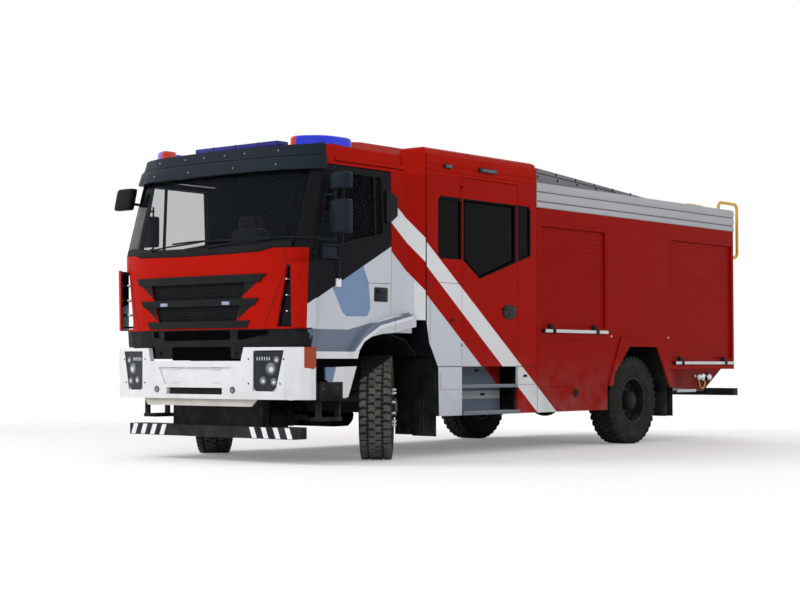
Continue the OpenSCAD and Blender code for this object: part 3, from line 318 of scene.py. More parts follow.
def plastic(name, colour, rough=0.5, grain=900.0, depth=0.12, shine=0.07, zones=()):
    m = Mat(name)
    tone = m.tint(m.mix(m.patchy(5.0), shade(colour, 0.8), shade(colour, 1.15)), zones)
    dust = m.both(m.ramp(m.axis(2), 0.2, 0.9, 0.22, 0.0), m.ramp(m.noise(8.0, 5.0), 0.4, 0.7))
    m.bump(m.noise(grain, 2.0), depth, 0.0008)
    return m.set(Base_Color=m.mix(dust, tone, DARK_DUST), Roughness=m.patchy(14.0, rough - 0.08, rough + 0.1),
                 Specular_IOR_Level=shine)


def metal(name, colour, rough=0.35, brushed=(1.0, 1.0, 1.0), depth=0.06):
    m = Mat(name)
    grain = m.noise(160.0, 3.0, brushed)
    tone = m.mix(m.ramp(grain, 0.3, 0.7), shade(colour, 0.85), colour)
    m.bump(grain, depth, 0.0006)
    return m.set(Base_Color=tone, Metallic=0.85, Roughness=m.patchy(12.0, rough - 0.08, rough + 0.12))


def rubber(name, dark, pale, zones=()):
    m = Mat(name)
    dust = m.ramp(m.noise(7.0, 5.0), 0.4, 0.75, 0.0, 0.7)
    m.bump(m.noise(260.0, 3.0), 0.2, 0.001)
    return m.set(Base_Color=m.tint(m.mix(dust, dark, pale), zones), Roughness=m.patchy(20.0, 0.72, 0.92),
                 Specular_IOR_Level=0.1)


def pane(name, tint, alpha, shine=0.25):
    m = Mat(name)
    film = m.ramp(m.noise(3.0, 3.0), 0.3, 0.75, 0.03, 0.09)
    m.mat.surface_render_method = "BLENDED"
    return m.set(Base_Color=tint, Roughness=film, Alpha=alpha, IOR=1.5, Specular_IOR_Level=shine)


def lens(name, colour, glow, zones=()):
    m = Mat(name)
    fine = m.noise(300.0, 1.0)
    tone = m.mix(m.ramp(m.noise(18.0, 3.0), 0.3, 0.7), shade(colour, 0.75), colour)
    light = (*colour, 1)
    for find, tint in zones:
        mask = find(m)
        tone = m.mix(mask, tone, tint)
        light = m.mix(mask, colour, tint)
    m.bump(fine, 0.12, 0.0006)
    return m.set(Base_Color=tone, Roughness=0.12, Coat_Weight=0.1, Coat_Roughness=0.04, Specular_IOR_Level=0.3,
                 Emission_Color=light, Emission_Strength=glow)


def cloth(name, colour):
    m = Mat(name)
    weave = m.math("MULTIPLY", *[m.math("SINE", m.math("MULTIPLY", m.axis(k), 2600.0)) for k in (1, 2)])
    tone = m.mix(m.ramp(weave, -0.6, 0.6), shade(colour, 0.7), shade(colour, 1.25))
    m.bump(weave, 0.25, 0.0008)
    return m.set(Base_Color=tone, Roughness=0.9, Sheen_Weight=0.25)


def slope(a, b):
    """Finds the side-view half plane to the left of the way from a to b, given as stations and heights"""
    (xa, za), (xb, zb) = a, b
    nx, nz = -(zb - za), xb - xa
    level = nx * (xa + DATUM) + nz * za
    return lambda m: m.plane((nx, 0, nz), level)


def left_of(*points):
    """Finds what lies to the left of every leg of a path"""
    return inside(*[slope(a, b) for a, b in zip(points, points[1:])])


def above(z):
    return lambda m: m.plane((0, 0, 1), z)


def ahead(s):
    return lambda m: m.plane((1, 0, 0), s + DATUM)


def inside(*finds):
    return lambda m: m.both(*[f(m) for f in finds])


def outside(find):
    return lambda m: m.flip(find(m))


def wide(y):
    """Finds what lies further than y from the middle plane"""
    def find(m):
        return m.math("GREATER_THAN", m.math("ABSOLUTE", m.axis(1)), y)
    return find


def either(a, b):
    return lambda m: m.either(a(m), b(m))


def under_arch(m):
    """Finds the top of the left front tread, in the shade of its arch"""
    return inside(lambda n: n.plane((0, 1, 0), 0.0), lambda n: n.plane((0.480, -0.615, 1.0), 1.579))(m)


def forward_face(m):
    return m.faces(0, 0.3)


def facing_down(m):
    return m.flip(m.faces(2, -0.3))


def edge_on(m):
    """Finds faces that look along the truck or up and down, not to the sides"""
    return m.both(m.flip(m.faces(1, 0.5)), m.faces(1, -0.5))


def outward(m):
    """Finds faces that look away from the truck's middle plane"""
    return m.math("GREATER_THAN", m.math("MULTIPLY", m.axis(1), m.part(m.normal, 1)), 0.3)


def ledge(low, high):
    """Finds a level band between two heights"""
    return inside(above(low), outside(above(high)))


# Stripe edges run up to the front: silver below the first, a red band, a white stripe, then red
STRIPE_ENDS = [((-1.883, 0.489), (0.072, 2.024)), ((-2.351, 0.406), (0.012, 2.256)), ((-2.706, 0.409), (-0.062, 2.424))]


def stripe_edges(back=0.0, lift=0.0):
    """The three stripe edges, moved back or up to suit the cab and the steps"""
    return [slope((xa - back, za + lift), (xb - back, zb + lift)) for (xa, za), (xb, zb) in STRIPE_ENDS]


STRIPE_1, STRIPE_2, STRIPE_3 = stripe_edges()
CAB_1, CAB_2, CAB_3 = stripe_edges(lift=0.030)
STEP_1, STEP_2, STEP_3 = stripe_edges(back=0.350)

# The black band round the crew cabin's side windows, with a bottom edge that falls to a low point
WINDOW_BAND = inside(wide(1.2), outside(above(2.572)), outside(ahead(-0.66)), ahead(-2.24),
                     either(inside(ahead(-1.06), above(1.955)),
                            inside(outside(ahead(-1.06)), slope((-1.34, 1.775), (-1.06, 1.955)))),
                     slope((-2.24, 2.05), (-1.34, 1.775)), slope((-0.66, 2.53), (-0.70, 2.572)),
                     slope((-0.70, 1.955), (-0.66, 1.995)), slope((-2.20, 2.572), (-2.24, 2.53)))


def make_materials():
    lip = left_of((0.570, 1.032), (0.440, 1.156), (0.205, 1.276), (-0.283, 1.379))
    # The inner part of the white arch lip, painted darker as shade beside its lit outer edge
    lip_shaded_face = inside(slope((0.548, 1.009), (0.418, 1.133)), slope((0.425, 1.128), (0.190, 1.248)),
                      slope((0.198, 1.245), (-0.290, 1.348)))
    skirt = outside(slope((-0.327, 1.421), (0.609, 1.232)))
    side_zones = [(inside(wide(1.18), outside(STRIPE_1)), SILVER),
                  (inside(wide(1.18), STRIPE_2, outside(STRIPE_3)), WHITE), (WINDOW_BAND, FRIT),
                  (inside(WINDOW_BAND, outside(ahead(-1.048)), ahead(-1.066)), RED),
                  (inside(WINDOW_BAND, outside(ahead(-1.986)), ahead(-2.003)), RED)]
    # Painted shade: the crew cabin's front wall low down and its inner faces are black
    crew_zones = side_zones + [(inside(forward_face, ahead(-0.75), outside(above(2.3))), BLACK),
                               (outside(wide(1.24)), BLACK)]
    cab_side = wide(1.0)
    near_door = inside(cab_side, ahead(-0.275))
    back_zones = [(inside(cab_side, outside(CAB_1)), SILVER), (inside(cab_side, CAB_2, outside(CAB_3)), WHITE),
                  (inside(near_door, skirt), SLATE), (inside(near_door, lip), WHITE),
                  (inside(near_door, lip_shaded_face), LIP_SHADE),
                  (inside(cab_side, outside(ahead(-0.335)), outside(CAB_1)), WHITE),
                  # Painted shade: the cab back's inner faces are near black
                  (either(outside(wide(1.15)), inside(outside(outward), outside(wide(1.2)))), DARK)]
    # Painted shade: the roof's undersides, inner faces and the faces behind the visor are near black
    roof_zones = [(either(facing_down, inside(outside(wide(1.165)), outside(above(2.9)))), DARK),
                  (inside(forward_face, outside(ahead(0.2)), ahead(-0.30), outside(wide(1.16))), DARK)]
    # Painted shade: black on the lockers' low inner faces, a darker red on the set-back lower box at the back and black
    # on its undersides; the faces in the rear arch are black
    locker_zones = side_zones + [(inside(outside(wide(1.2)), outside(above(1.0)), ahead(-5.0)), BLACK),
                                 (inside(outside(ahead(-5.21)), outside(above(0.832))), (0.17, 0.0045, 0.003)),
                                 (inside(outside(ahead(-5.0)), outside(above(0.66)), facing_down), BLACK),
                                 (inside(edge_on, outside(wide(1.2705)), outside(above(1.19)), outside(ahead(-3.70)),
                                         ahead(-5.10)), BLACK)]
    # Painted shade: the inner faces of the step recesses are black
    step_zones = [(ledge(0.557, 0.637), (0.62, 0.63, 0.66)), (STEP_1, RED), (inside(STEP_2, outside(STEP_3)), WHITE),
                  (wide(1.09), (0.16, 0.19, 0.23)), (outside(either(wide(1.09), inside(outward, wide(0.98)))), BLACK)]
    guard_plate = inside(wide(1.1825), ahead(0.40), above(0.60), either(above(0.7495), outside(ahead(0.672))))
    guard_zones = [(guard_plate, WHITE),
                   (inside(guard_plate, slope((0.762, 0.90), (0.812, 0.75)), above(0.751)), (0.19, 0.26, 0.38))]
    patch = inside(left_of((0.337, 1.361), (0.631, 1.354), (0.687, 1.390), (0.830, 1.620)),
                   left_of((0.420, 1.870), (0.321, 1.686), (0.294, 1.500), (0.291, 1.429), (0.337, 1.361)))
    below_window = slope((1.135, 1.462), (0.0, 2.03))
    door_skin = inside(wide(CAB + 0.003), outside(ahead(0.62)))
    door_zones = [
        (below_window, SILVER),
        (inside(below_window, patch), (0.22, 0.31, 0.48)),
        (inside(outside(above(1.232)), ahead(0.609)), SLATE),
        (inside(skirt, outside(ahead(0.609))), SLATE),
        (inside(door_skin, lip), WHITE), (inside(door_skin, lip_shaded_face), LIP_SHADE),
        (outside(above(1.028)), WHITE),
        # Painted shade on the door's inner faces
        (outside(wide(1.185)), DARK)]
    vane_back = inside(wide(1.24), outside(ahead(1.2195)))
    vane_door = inside(vane_back, slope((1.2195, 1.457), (1.111, 1.511)))
    # Painted light: the far pillar's inner faces low down are light grey, as the white backdrop would show through the
    # glass wrapped round the corner
    pillar_painted_backdrop = inside(slope((0.975, 2.46), (1.042, 2.089)), outside(wide(1.16)), outside(above(2.47)),
                         outside(forward_face))
    return {
        "body": painted("paint_body", base=SHADED_RED),
        "vane": painted("paint_vane", [(vane_back, BLACK), (vane_door, SILVER)], base=LIT_RED),
        "floor": plastic("plastic_floor", (0.015, 0.015, 0.017), 0.55,
                         zones=[(inside(wide(1.2), above(1.02), slope((1.075, 1.020), (1.157, 1.226))), SLATE)]),
        "marker": lens("lens_marker", (0.34, 0.38, 0.48), 0.05),
        "roof": painted("paint_roof", roof_zones, base=LIT_RED),
        "locker": painted("paint_lockers", locker_zones, base=SHADED_RED),
        "seam": painted("paint_seam", base=(0.07, 0.004, 0.003)),
        # Dark lines painted as shade in the cornice's two grooves
        "cornice": painted("paint_cornice", [(ledge(2.6385, 2.6485), GROOVE), (ledge(2.7395, 2.7495), GROOVE)],
                           base=(0.50, 0.505, 0.515)),
        "plate": painted("paint_plate", base=(0.25, 0.253, 0.27)),
        "void": plastic("plastic_deep", (0.003, 0.003, 0.003), 0.7, shine=0.0),
        "brass": metal("brass_dull", (0.50, 0.33, 0.16), 0.4),
        "side": painted("paint_side", side_zones),
        "cab_back": painted("paint_cab_back", back_zones),
        "crew": painted("paint_crew", crew_zones),
        "step": painted("paint_steps", step_zones, base=SLATE),
        "guard": painted("guard_black", guard_zones, base=BLACK, rough=0.5),
        "beacon": lens("lens_beacon", (0.012, 0.03, 0.66), 0.15, zones=[(outside(wide(0.915)), (0.55, 0.03, 0.012))]),
        "door": painted("paint_door", door_zones, base=BLACK, rough=0.34),
        "white": painted("paint_white", [(outside(above(0.592)), CREAM)], base=WHITE),
        "silver": painted("paint_silver", base=SILVER),
        "front": painted("paint_front", [(inside(outside(ahead(1.15)), wide(1.19)), BLACK)], base=LIT_RED),
        "anthracite": painted("paint_anthracite", base=(0.014, 0.019, 0.028), rough=0.42, shine=0.08),
        "chassis": plastic("paint_chassis", (0.02, 0.02, 0.022), 0.5, 300.0, 0.1),
        "engine": plastic("cast_grey", (0.08, 0.08, 0.085), 0.6, 220.0, 0.4),
        "rim": plastic("rim_black", (0.016, 0.016, 0.018), 0.42, 500.0, 0.06),
        "hub": plastic("hub_grey", (0.12, 0.12, 0.125), 0.45, 500.0, 0.06),
        "tyre": rubber("tyre_rubber", (0.020, 0.020, 0.019), (0.045, 0.042, 0.037)),
        # The front tread's dusty, worn colours, with a painted shadow on its top under the arch
        "worn_and_shaded": rubber("tread_rubber", (0.080, 0.075, 0.066), (0.180, 0.166, 0.142),
                       [(under_arch, (0.010, 0.010, 0.009))]),
        "black": plastic("plastic_black", (0.015, 0.015, 0.017), 0.55),
        "trim": plastic("plastic_trim", (0.014, 0.0145, 0.016), 0.48),
        "gloss": plastic("plastic_gloss_black", (0.006, 0.006, 0.008), 0.2, 900.0, 0.02, 0.2),
        "glass": pane("glass_tinted", (0.02, 0.03, 0.04), 0.10),
        "dark_glass": pane("glass_dark", (0.003, 0.0035, 0.004), 0.93, 0.04),
        "door_glass": pane("glass_door", (0.010, 0.012, 0.015), 0.22, 0.03),
        "clear": pane("lens_clear", (0.75, 0.8, 0.85), 0.25),
        "blue": lens("lens_blue", (0.008, 0.012, 0.20), 0.1),
        "amber": lens("lens_amber", (0.75, 0.13, 0.01), 0.1),
        "lamp_red": lens("lens_red", (0.5, 0.01, 0.008), 0.05),
        "lamp_white": lens("lens_white", (0.8, 0.82, 0.85), 0.15),
        "lamp": plastic("lamp_dark", (0.020, 0.025, 0.032), 0.25, 600.0, 0.03, 0.2,
                        [(inside(wide(1.195), ahead(0.9)), WHITE),
                         (inside(wide(1.240), ahead(0.9)), (0.34, 0.055, 0.022))]),
        "chrome": metal("chrome", (0.82, 0.83, 0.85), 0.14, depth=0.01),
        "nut": metal("nut_steel", (0.72, 0.73, 0.75), 0.3),
        "aluminium": metal("aluminium_sheet", (0.62, 0.63, 0.64), 0.42, (0.05, 1.0, 1.0)),
        "tread": metal("tread_plate", (0.5, 0.51, 0.52), 0.42),
        "yellow": painted("paint_yellow", base=(0.78, 0.50, 0.11)),
        "seat": cloth("seat_cloth", (0.010, 0.011, 0.015)),
        "lamp_grey": plastic("plastic_lamp", (0.12, 0.125, 0.135), 0.35, shine=0.2),
        "pillar": painted("paint_pillar", [(pillar_painted_backdrop, (0.70, 0.70, 0.68))], base=BLACK, rough=0.5),
    }


MATS = make_materials()
DRESS = {
    "chassis": ["chassis_frame", "bearers", "axles", "leaf_springs", "knuckle_left", "knuckle_right", "underrun_bars"],
    "engine": ["driveline"],
    "rim": ["wheel_front_left", "wheel_front_right", "wheel_rear_left", "wheel_rear_right"],
    "tyre": ["tyre_front_left", "tyre_front_right", "tyre_rear_left", "tyre_rear_right"],
    "black": ["corner_ducts", "mirrors_left", "mirrors_right"],
    "pillar": ["cab_pillars"],
    "floor": ["cab_floor"],
    "trim": ["grille", "dashboard"],
    "front": ["front_panel"],
    "body": ["tank_body", "shutters"],
    "vane": ["corner_vanes"],
    "roof": ["cab_roof", "crew_roof"],
    "crew": ["crew_walls"],
    "side": ["crew_door_left", "crew_door_right"],
    "locker": ["side_lockers"],
    "cab_back": ["cab_back"],
    "door": ["door_left", "door_right"],
    "white": ["bumper"],
    "anthracite": ["visor"],
    "blue": ["beacons"],
    "lamp": ["lamps"],
    "glass": ["windscreen"],
    "door_glass": ["door_glass_left", "door_glass_right"],
    "dark_glass": ["crew_glass", "crew_door_glass_left", "crew_door_glass_right"],
    "aluminium": ["ladder"],
    "cornice": ["cornices"],
    "plate": ["roof_plates"],
    "step": ["crew_floor"],
    "guard": ["mudguards"],
    "yellow": ["hand_rails"],
    "seat": ["seats"],
}

set_camera()
set_stage()
for kind, names in DRESS.items():
    for name in names:
        data = NODES[name].data
        data.materials.clear()
        data.materials.append(MATS[kind])


# Mesh kit

class Build:
    """Collects closed solids into one piece that rides on a body"""

    def __init__(self, name, mat, body="truck", slot=None):
        self.name, self.mat, self.body, self.slot = name, mat, body, slot
        self.bm = bmesh.new()

    def box(self, low, high, bevel):
        low, high = Vector(low), Vector(high)
        mid, size = (low + high) / 2, high - low
        turn = Matrix.Translation(mid) @ Matrix.Diagonal((*size, 1))
        verts = bmesh.ops.create_cube(self.bm, size=1, matrix=turn)["verts"]
        edges = list({e for v in verts for e in v.link_edges})
        bmesh.ops.bevel(self.bm, geom=edges, offset=bevel, segments=2, profile=0.6, affect="EDGES")

    def rod(self, a, b, r, seg=16, r2=None):
        a, b = Vector(a), Vector(b)
        way = b - a
        turn = Matrix.Translation((a + b) / 2) @ way.to_track_quat("Z", "Y").to_matrix().to_4x4()
        bmesh.ops.create_cone(self.bm, cap_ends=True, segments=seg, radius1=r, radius2=r if r2 is None else r2,
                              depth=way.length, matrix=turn)

    def dome(self, place, way, r, depth, seg=20):
        turn = Matrix.Translation(place) @ Vector(way).to_track_quat("Z", "Y").to_matrix().to_4x4()
        bmesh.ops.create_uvsphere(self.bm, u_segments=seg, v_segments=seg // 2, radius=1,
                                  matrix=turn @ Matrix.Diagonal((r, r, depth, 1)))

    def loop(self, rings, wrap=False):
        """Joins rings of points, each ring closed; caps the ends or wraps round"""
        rows = [[self.bm.verts.new(p) for p in ring] for ring in rings]
        count = len(rows[0])
        steps = len(rows) if wrap else len(rows) - 1
        for i in range(steps):
            a, b = rows[i], rows[(i + 1) % len(rows)]
            for k in range(count):
                self.bm.faces.new((a[k], a[(k + 1) % count], b[(k + 1) % count], b[k]))
        if not wrap:
            self.bm.faces.new(rows[0][::-1])
            self.bm.faces.new(rows[-1])

    def tube(self, points, r, seg=8, wrap=False):
        points = [Vector(p) for p in points]
        n = len(points)
        rings = []
        side = None
        for i, p in enumerate(points):
            before = points[i - 1] if i or wrap else p
            after = points[(i + 1) % n] if i < n - 1 or wrap else p
            way = (after - before).normalized()
            if side is None:
                side = way.orthogonal().normalized()
            side = (side - way * side.dot(way)).normalized()
            other = way.cross(side)
            rings.append([p + r * (math.cos(t) * side + math.sin(t) * other)
                          for t in turns(seg)])
        self.loop(rings, wrap=wrap)

    def plate(self, outline, shift):
        """A flat outline of points, thickened by a shift"""
        shift = Vector(shift)
        self.loop([[Vector(p) for p in outline], [Vector(p) + shift for p in outline]])

    def grid(self, rows, shift):
        """A curved sheet of rows of points, thickened by a shift"""
        shift = Vector(shift)
        face = [[self.bm.verts.new(p) for p in row] for row in rows]
        back = [[self.bm.verts.new(Vector(p) + shift) for p in row] for row in rows]
        h, w = len(rows), len(rows[0])
        new = self.bm.faces.new
        for i in range(h - 1):
            for k in range(w - 1):
                new((face[i][k], face[i][k + 1], face[i + 1][k + 1], face[i + 1][k]))
                new((back[i][k], back[i + 1][k], back[i + 1][k + 1], back[i][k + 1]))
        for k in range(w - 1):
            new((face[0][k + 1], face[0][k], back[0][k], back[0][k + 1]))
            new((face[-1][k], face[-1][k + 1], back[-1][k + 1], back[-1][k]))
        for i in range(h - 1):
            new((face[i][0], face[i + 1][0], back[i + 1][0], back[i][0]))
            new((face[i + 1][-1], face[i][-1], back[i][-1], back[i + 1][-1]))

    def revolve(self, profile, seg):
        """A closed profile of radius and Y, turned about the Y axis"""
        rings = [[(r * math.cos(t), y, r * math.sin(t)) for r, y in profile]
                 for t in turns(seg)]
        self.loop(rings, wrap=True)

    def move(self, turn):
        bmesh.ops.transform(self.bm, matrix=turn, verts=self.bm.verts)

    def mirror(self):
        """Adds the same solids on the other side"""
        copy = bmesh.ops.duplicate(self.bm, geom=self.bm.verts[:] + self.bm.edges[:] + self.bm.faces[:])["geom"]
        for v in copy:
            if isinstance(v, bmesh.types.BMVert):
                v.co.y = -v.co.y

    def pair(self):
        self.mirror()
        self.done()

    def done(self, smooth=35.0):
        bmesh.ops.recalc_face_normals(self.bm, faces=self.bm.faces)
        mesh = bpy.data.meshes.new(self.name)
        self.bm.to_mesh(mesh)
        self.bm.free()
        for f in mesh.polygons:
            f.use_smooth = True
        mesh.set_sharp_from_angle(angle=math.radians(smooth))
        mesh.materials.append(MATS[self.mat])
        obj = bpy.data.objects.new(self.name, mesh)
        bpy.context.scene.collection.objects.link(obj)
        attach(obj, self.body)
        return obj


def turns(count):
    """The angles of a full turn in equal steps"""
    return [2 * math.pi * k / count for k in range(count)]


def spline(points, steps):
    """Points in equal steps on a smooth curve from the second of four points towards the third"""
    out = []
    for i in range(steps):
        u = i / steps
        out.append(tuple(0.5 * (2 * b + (c - a) * u + (2 * a - 5 * b + 4 * c - d) * u * u
                                + (3 * b - a - 3 * c + d) * u ** 3) for a, b, c, d in zip(*points)))
    return out


def legs(points, steps):
    """Points in equal steps along each leg of a path"""
    out = []
    for (ya, za), (yb, zb) in zip(points, points[1:]):
        out += [(ya + (yb - ya) * k / steps, za + (zb - za) * k / steps) for k in range(steps)]
    return out + [points[-1]]


def at(station, y, z):
    return Vector((station + DATUM, y, z))


# The cab's bowed front, as in the source: height, set-back and narrowing of each level
LEVELS = [(0.963, 0.027, 0.022), (1.232, 0.013, 0.010), (1.965, 0.0, 0.0), (2.690, 0.210, 0.008),
          (2.930, 0.286, 0.033), (3.015, 0.850, 0.125)]
BOW_STEPS = [(1.0, 0.0), (0.945, 0.3), (0.84, 0.56), (0.66, 0.82), (0.4, 0.95), (0.0, 1.0)]
CORNER, BOW = 1.160, 0.245


def bow_curve():
    """A smooth curve through the bow's corners, as pairs of side fraction and forward fraction"""
    points = [(1.0, -0.3)] + BOW_STEPS + [(-t, f) for t, f in BOW_STEPS[-2::-1]]
    out = []
    for k in range(1, 6):
        out += spline(points[k - 1:k + 3], 12)
    return out + [(0.0, 1.0)]


BOW_CURVE = bow_curve()


def cab_level(z, out=0.0):
    """Corner station and half width of the cab at a height"""
    z = min(max(z, LEVELS[0][0]), LEVELS[-1][0])
    for a, b in zip(LEVELS, LEVELS[1:]):
        if z <= b[0]:
            t = (z - a[0]) / (b[0] - a[0])
            return CORNER - (a[1] + t * (b[1] - a[1])) + out, CAB - (a[2] + t * (b[2] - a[2])) + out
    return CORNER + out, CAB + out


def on_front(y, z, out=0.0):
    """The point of the cab's front at a lateral position and height, moved out of the surface"""
    x, half = cab_level(z, out)
    t = min(abs(y) / half, 1.0)
    for a, b in zip(BOW_CURVE, BOW_CURVE[1:]):
        if t >= b[0]:
            f = b[1] + (a[1] - b[1]) * (t - b[0]) / max(a[0] - b[0], 1e-6)
            return at(x + BOW * f, y, z)
    return at(x + BOW, y, z)


def round_cab(u, z, out=0.0):
    """A point round the cab's front: u from -1 to 1 across the bow, further along the sides in metres"""
    x, half = cab_level(z, out)
    if abs(u) <= 1:
        return on_front(u * half, z, out)
    return at(x - (abs(u) - 1), math.copysign(half, u), z)


def wheel_place(side, front):
    if front:
        turn = Matrix.Translation((AXLE_F, side * KING_Y, HUB_Z)) @ Matrix.Rotation(STEER, 4, "Z")
        return turn @ Matrix.Diagonal((1, side, 1, 1)) @ Matrix.Translation((0, KING_OUT, 0))
    return Matrix.Translation((AXLE_R, side * REAR_Y, HUB_Z)) @ Matrix.Diagonal((1, side, 1, 1))


# Wheels

TREAD_COLUMNS = [(-0.131, -0.074), (-0.064, -0.005), (0.005, 0.064), (0.074, 0.131)]
TREAD_COUNT = 38
GROOVE_R = 0.485
NUTS, NUT_CIRCLE = 10, 0.1675


def tread_block(b, y0, y1, t0, t1, skew, base, top):
    """One tread block with a bent outline on the tyre's round"""
    mid = (y0 + y1) / 2
    bend = 0.16 * (t1 - t0)
    outline = [(y0, t0), (mid, t0 + bend), (y1, t0), (y1 + skew, (t0 + t1) / 2), (y1, t1), (mid, t1 + bend), (y0, t1),
               (y0 + skew, (t0 + t1) / 2)]
    rings = []
    for r, grow in ((base, 1.04), (top - 0.002, 1.0), (top, 0.95)):
        ym, tm = mid, (t0 + t1) / 2
        rings.append([(r * math.cos(tm + (t - tm) * grow), ym + (y - ym) * grow, r * math.sin(tm + (t - tm) * grow))
                      for y, t in outline])
    b.loop(rings)


def make_tyre(name, node, body, place):
    b = Build(name, "tyre", body, "tyre")
    h = TYRE_W / 2
    wall = [(0.001, 0.028), (0.016, 0.026), (0.024, 0.012), (0.030, 0.006), (0.055, 0.004), (0.060, 0.001),
            (0.095, 0.0), (0.100, 0.002), (0.150, 0.002), (0.154, 0.0), (0.164, 0.001), (0.168, 0.004)]
    half = [(RIM_R + r, h - y) for r, y in wall]
    half += [(0.442, h - 0.007), (0.466, h - 0.014), (GROOVE_R - 0.004, h - 0.026), (GROOVE_R, h - 0.040)]
    b.revolve(half + [(r, -y) for r, y in half[::-1]], 96)
    b.move(place)
    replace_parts(b.done(30.0), node)
    b = Build("blocks_" + name, "worn_and_shaded" if "front" in name else "tyre", body, "tyre")
    step = 2 * math.pi / TREAD_COUNT
    for c, (y0, y1) in enumerate(TREAD_COLUMNS):
        for k in range(TREAD_COUNT):
            t = step * (k + 0.5 * (c % 2))
            skew = 0.013 if c % 2 else -0.013
            tread_block(b, y0, y1, t + 0.13 * step, t + 0.82 * step, skew, GROOVE_R - 0.006, TYRE_R)
    # Shoulder lugs that run over the edge of the tread
    lug = [(0.4965, 0.1295), (0.492, 0.140), (0.468, 0.1495), (0.452, 0.150), (0.452, 0.140), (0.478, 0.120)]
    for side in (-1, 1):
        for k in range(TREAD_COUNT):
            t0 = step * (k + (0.5 if side > 0 else 0.0)) + 0.16 * step
            t1 = t0 + 0.62 * step
            b.loop([[(r * math.cos(t), side * y, r * math.sin(t)) for r, y in lug]
                    for t in (t0, (t0 + t1) / 2, t1)])
    b.move(place)
    b.done(30.0)


def make_wheel_trim(name, body, place, front):
    # Places along the wheel's axis: the disc's face, the nuts' tips, the hub's end and both ends of the valve
    face, tip, end, foot, top = (0.132, 0.186, 0.176, 0.115, 0.150) if front else (0.038, 0.078, 0.126, 0.02, 0.07)
    nuts = Build(name + "_nuts", "nut" if front else "rim", body, "rim")
    for k in range(NUTS):
        t = 2 * math.pi * (k + 0.5) / NUTS
        c, s = NUT_CIRCLE * math.cos(t), NUT_CIRCLE * math.sin(t)
        nuts.rod((c, face - 0.001, s), (c, face + 0.006, s), 0.021, 16)
        nuts.rod((c, face + 0.006, s), (c, tip - 0.018, s), 0.0165, 6)
        nuts.rod((c, tip - 0.018, s), (c, tip, s), 0.0125, 12, 0.009)
    nuts.move(place)
    nuts.done()
    hub = Build(name + "_hub", "hub" if front else "rim", body, "rim")
    hub.rod((0, end - 0.001, 0), (0, end + 0.008, 0), 0.092, 32, 0.086)
    hub.rod((0, end + 0.008, 0), (0, end + 0.020, 0), 0.060, 32, 0.052)
    for t in turns(8):
        c, s = 0.074 * math.cos(t), 0.074 * math.sin(t)
        hub.rod((c, end + 0.007, s), (c, end + 0.015, s), 0.007, 6)
    hub.rod((0.06, foot, 0.215), (0.062, top, 0.222), 0.005, 8)
    hub.move(place)
    hub.done()


def make_wheels():
    for front in (True, False):
        for side, word in ((1, "left"), (-1, "right")):
            end = "front" if front else "rear"
            place = wheel_place(side, front)
            body = "%s_wheel_%s" % (end, word)
            make_tyre("tread_%s_%s" % (end, word), "tyre_%s_%s" % (end, word), body, place)
            make_wheel_trim("wheel_trim_%s_%s" % (end, word), body, place, front)


# Front of the cab

LAMP_WAY, LAMP_ALONG = Vector((0.985, 0.174, 0)), Vector((-0.174, 0.985, 0))
LAMP_EYES = [(0.985, 0.952, 0.031), (0.925, 0.872, 0.056), (0.842, 0.762, 0.036), (0.958, 0.752, 0.034)]


def lamp_spot(y, z, out):
    """A point on the head lamp's face, moved out along its normal"""
    return at(1.391 - (y - 0.62) * 0.177, y, z) + out * LAMP_WAY


def lamp_ring(b, y, z, r, out, thick):
    mid = lamp_spot(y, z, out)
    b.tube([mid + r * (math.cos(t) * LAMP_ALONG + math.sin(t) * Vector((0, 0, 1))) for t in turns(32)],
           thick, 8, wrap=True)


def make_head_lamps():
    rings = Build("lamp_rings", "hub", slot="lamp")
    bowls = Build("lamp_bowls", "trim", slot="lamp")
    bulbs = Build("lamp_bulbs", "lamp_white", slot="lamp")
    corners = Build("lamp_corners", "white", slot="white")
    glass = Build("lamp_lenses", "clear", slot="glass")
    leds = Build("lamp_leds", "lamp_white", slot="lamp")
    screws = Build("lamp_screws", "black", slot="trim")
    edge = Build("lamp_edges", "gloss", slot="trim")
    for y, z, r in LAMP_EYES:
        lamp_ring(rings, y, z, r, 0.004, 0.0045)
        bowls.dome(lamp_spot(y, z, 0.001), LAMP_WAY, r * 0.9, 0.006)
        bulbs.dome(lamp_spot(y + 0.1 * r, z - 0.15 * r, 0.006), LAMP_WAY, r * 0.45, 0.010)
        glass.dome(lamp_spot(y, z, 0.003), LAMP_WAY, r * 0.93, 0.016)
    for k in range(6):
        y = 0.778 + 0.026 * k
        mid = lamp_spot(y, 0.962, 0.003)
        leds.box(mid - Vector((0.004, 0.006, 0.016)), mid + Vector((0.004, 0.006, 0.016)), 0.002)
    for x, y, z in ((1.393, 0.694, 0.959), (1.327, 1.069, 0.958), (1.393, 0.695, 0.736), (1.333, 1.032, 0.734)):
        mid = at(x, y, z)
        screws.rod(mid - 0.004 * LAMP_WAY, mid + 0.004 * LAMP_WAY, 0.009, 12, 0.007)
    for y, z, way, rise, r in ((0.7455, 0.666, 1, 1, 0.040), (0.7455, 1.040, 1, -1, 0.028),
                               (0.980, 0.666, -1, 1, 0.045)):
        arc = [(y + way * r * (1 - math.sin(t)), z + rise * r * (1 - math.cos(t)))
               for t in [math.pi / 12 * k for k in range(7)]]
        corners.plate([lamp_spot(*q, 0.0075) for q in [(y, z)] + arc], -0.003 * LAMP_WAY)
    frame_line = [(0.752, 1.028), (0.752, 0.676), (0.976, 0.672), (1.060, 1.028)]
    edge.tube([lamp_spot(y, z, 0.002) for y, z in frame_line], 0.006, 8, wrap=True)
    for b in (rings, bowls, bulbs, corners, glass, leds, screws, edge):
        b.pair()


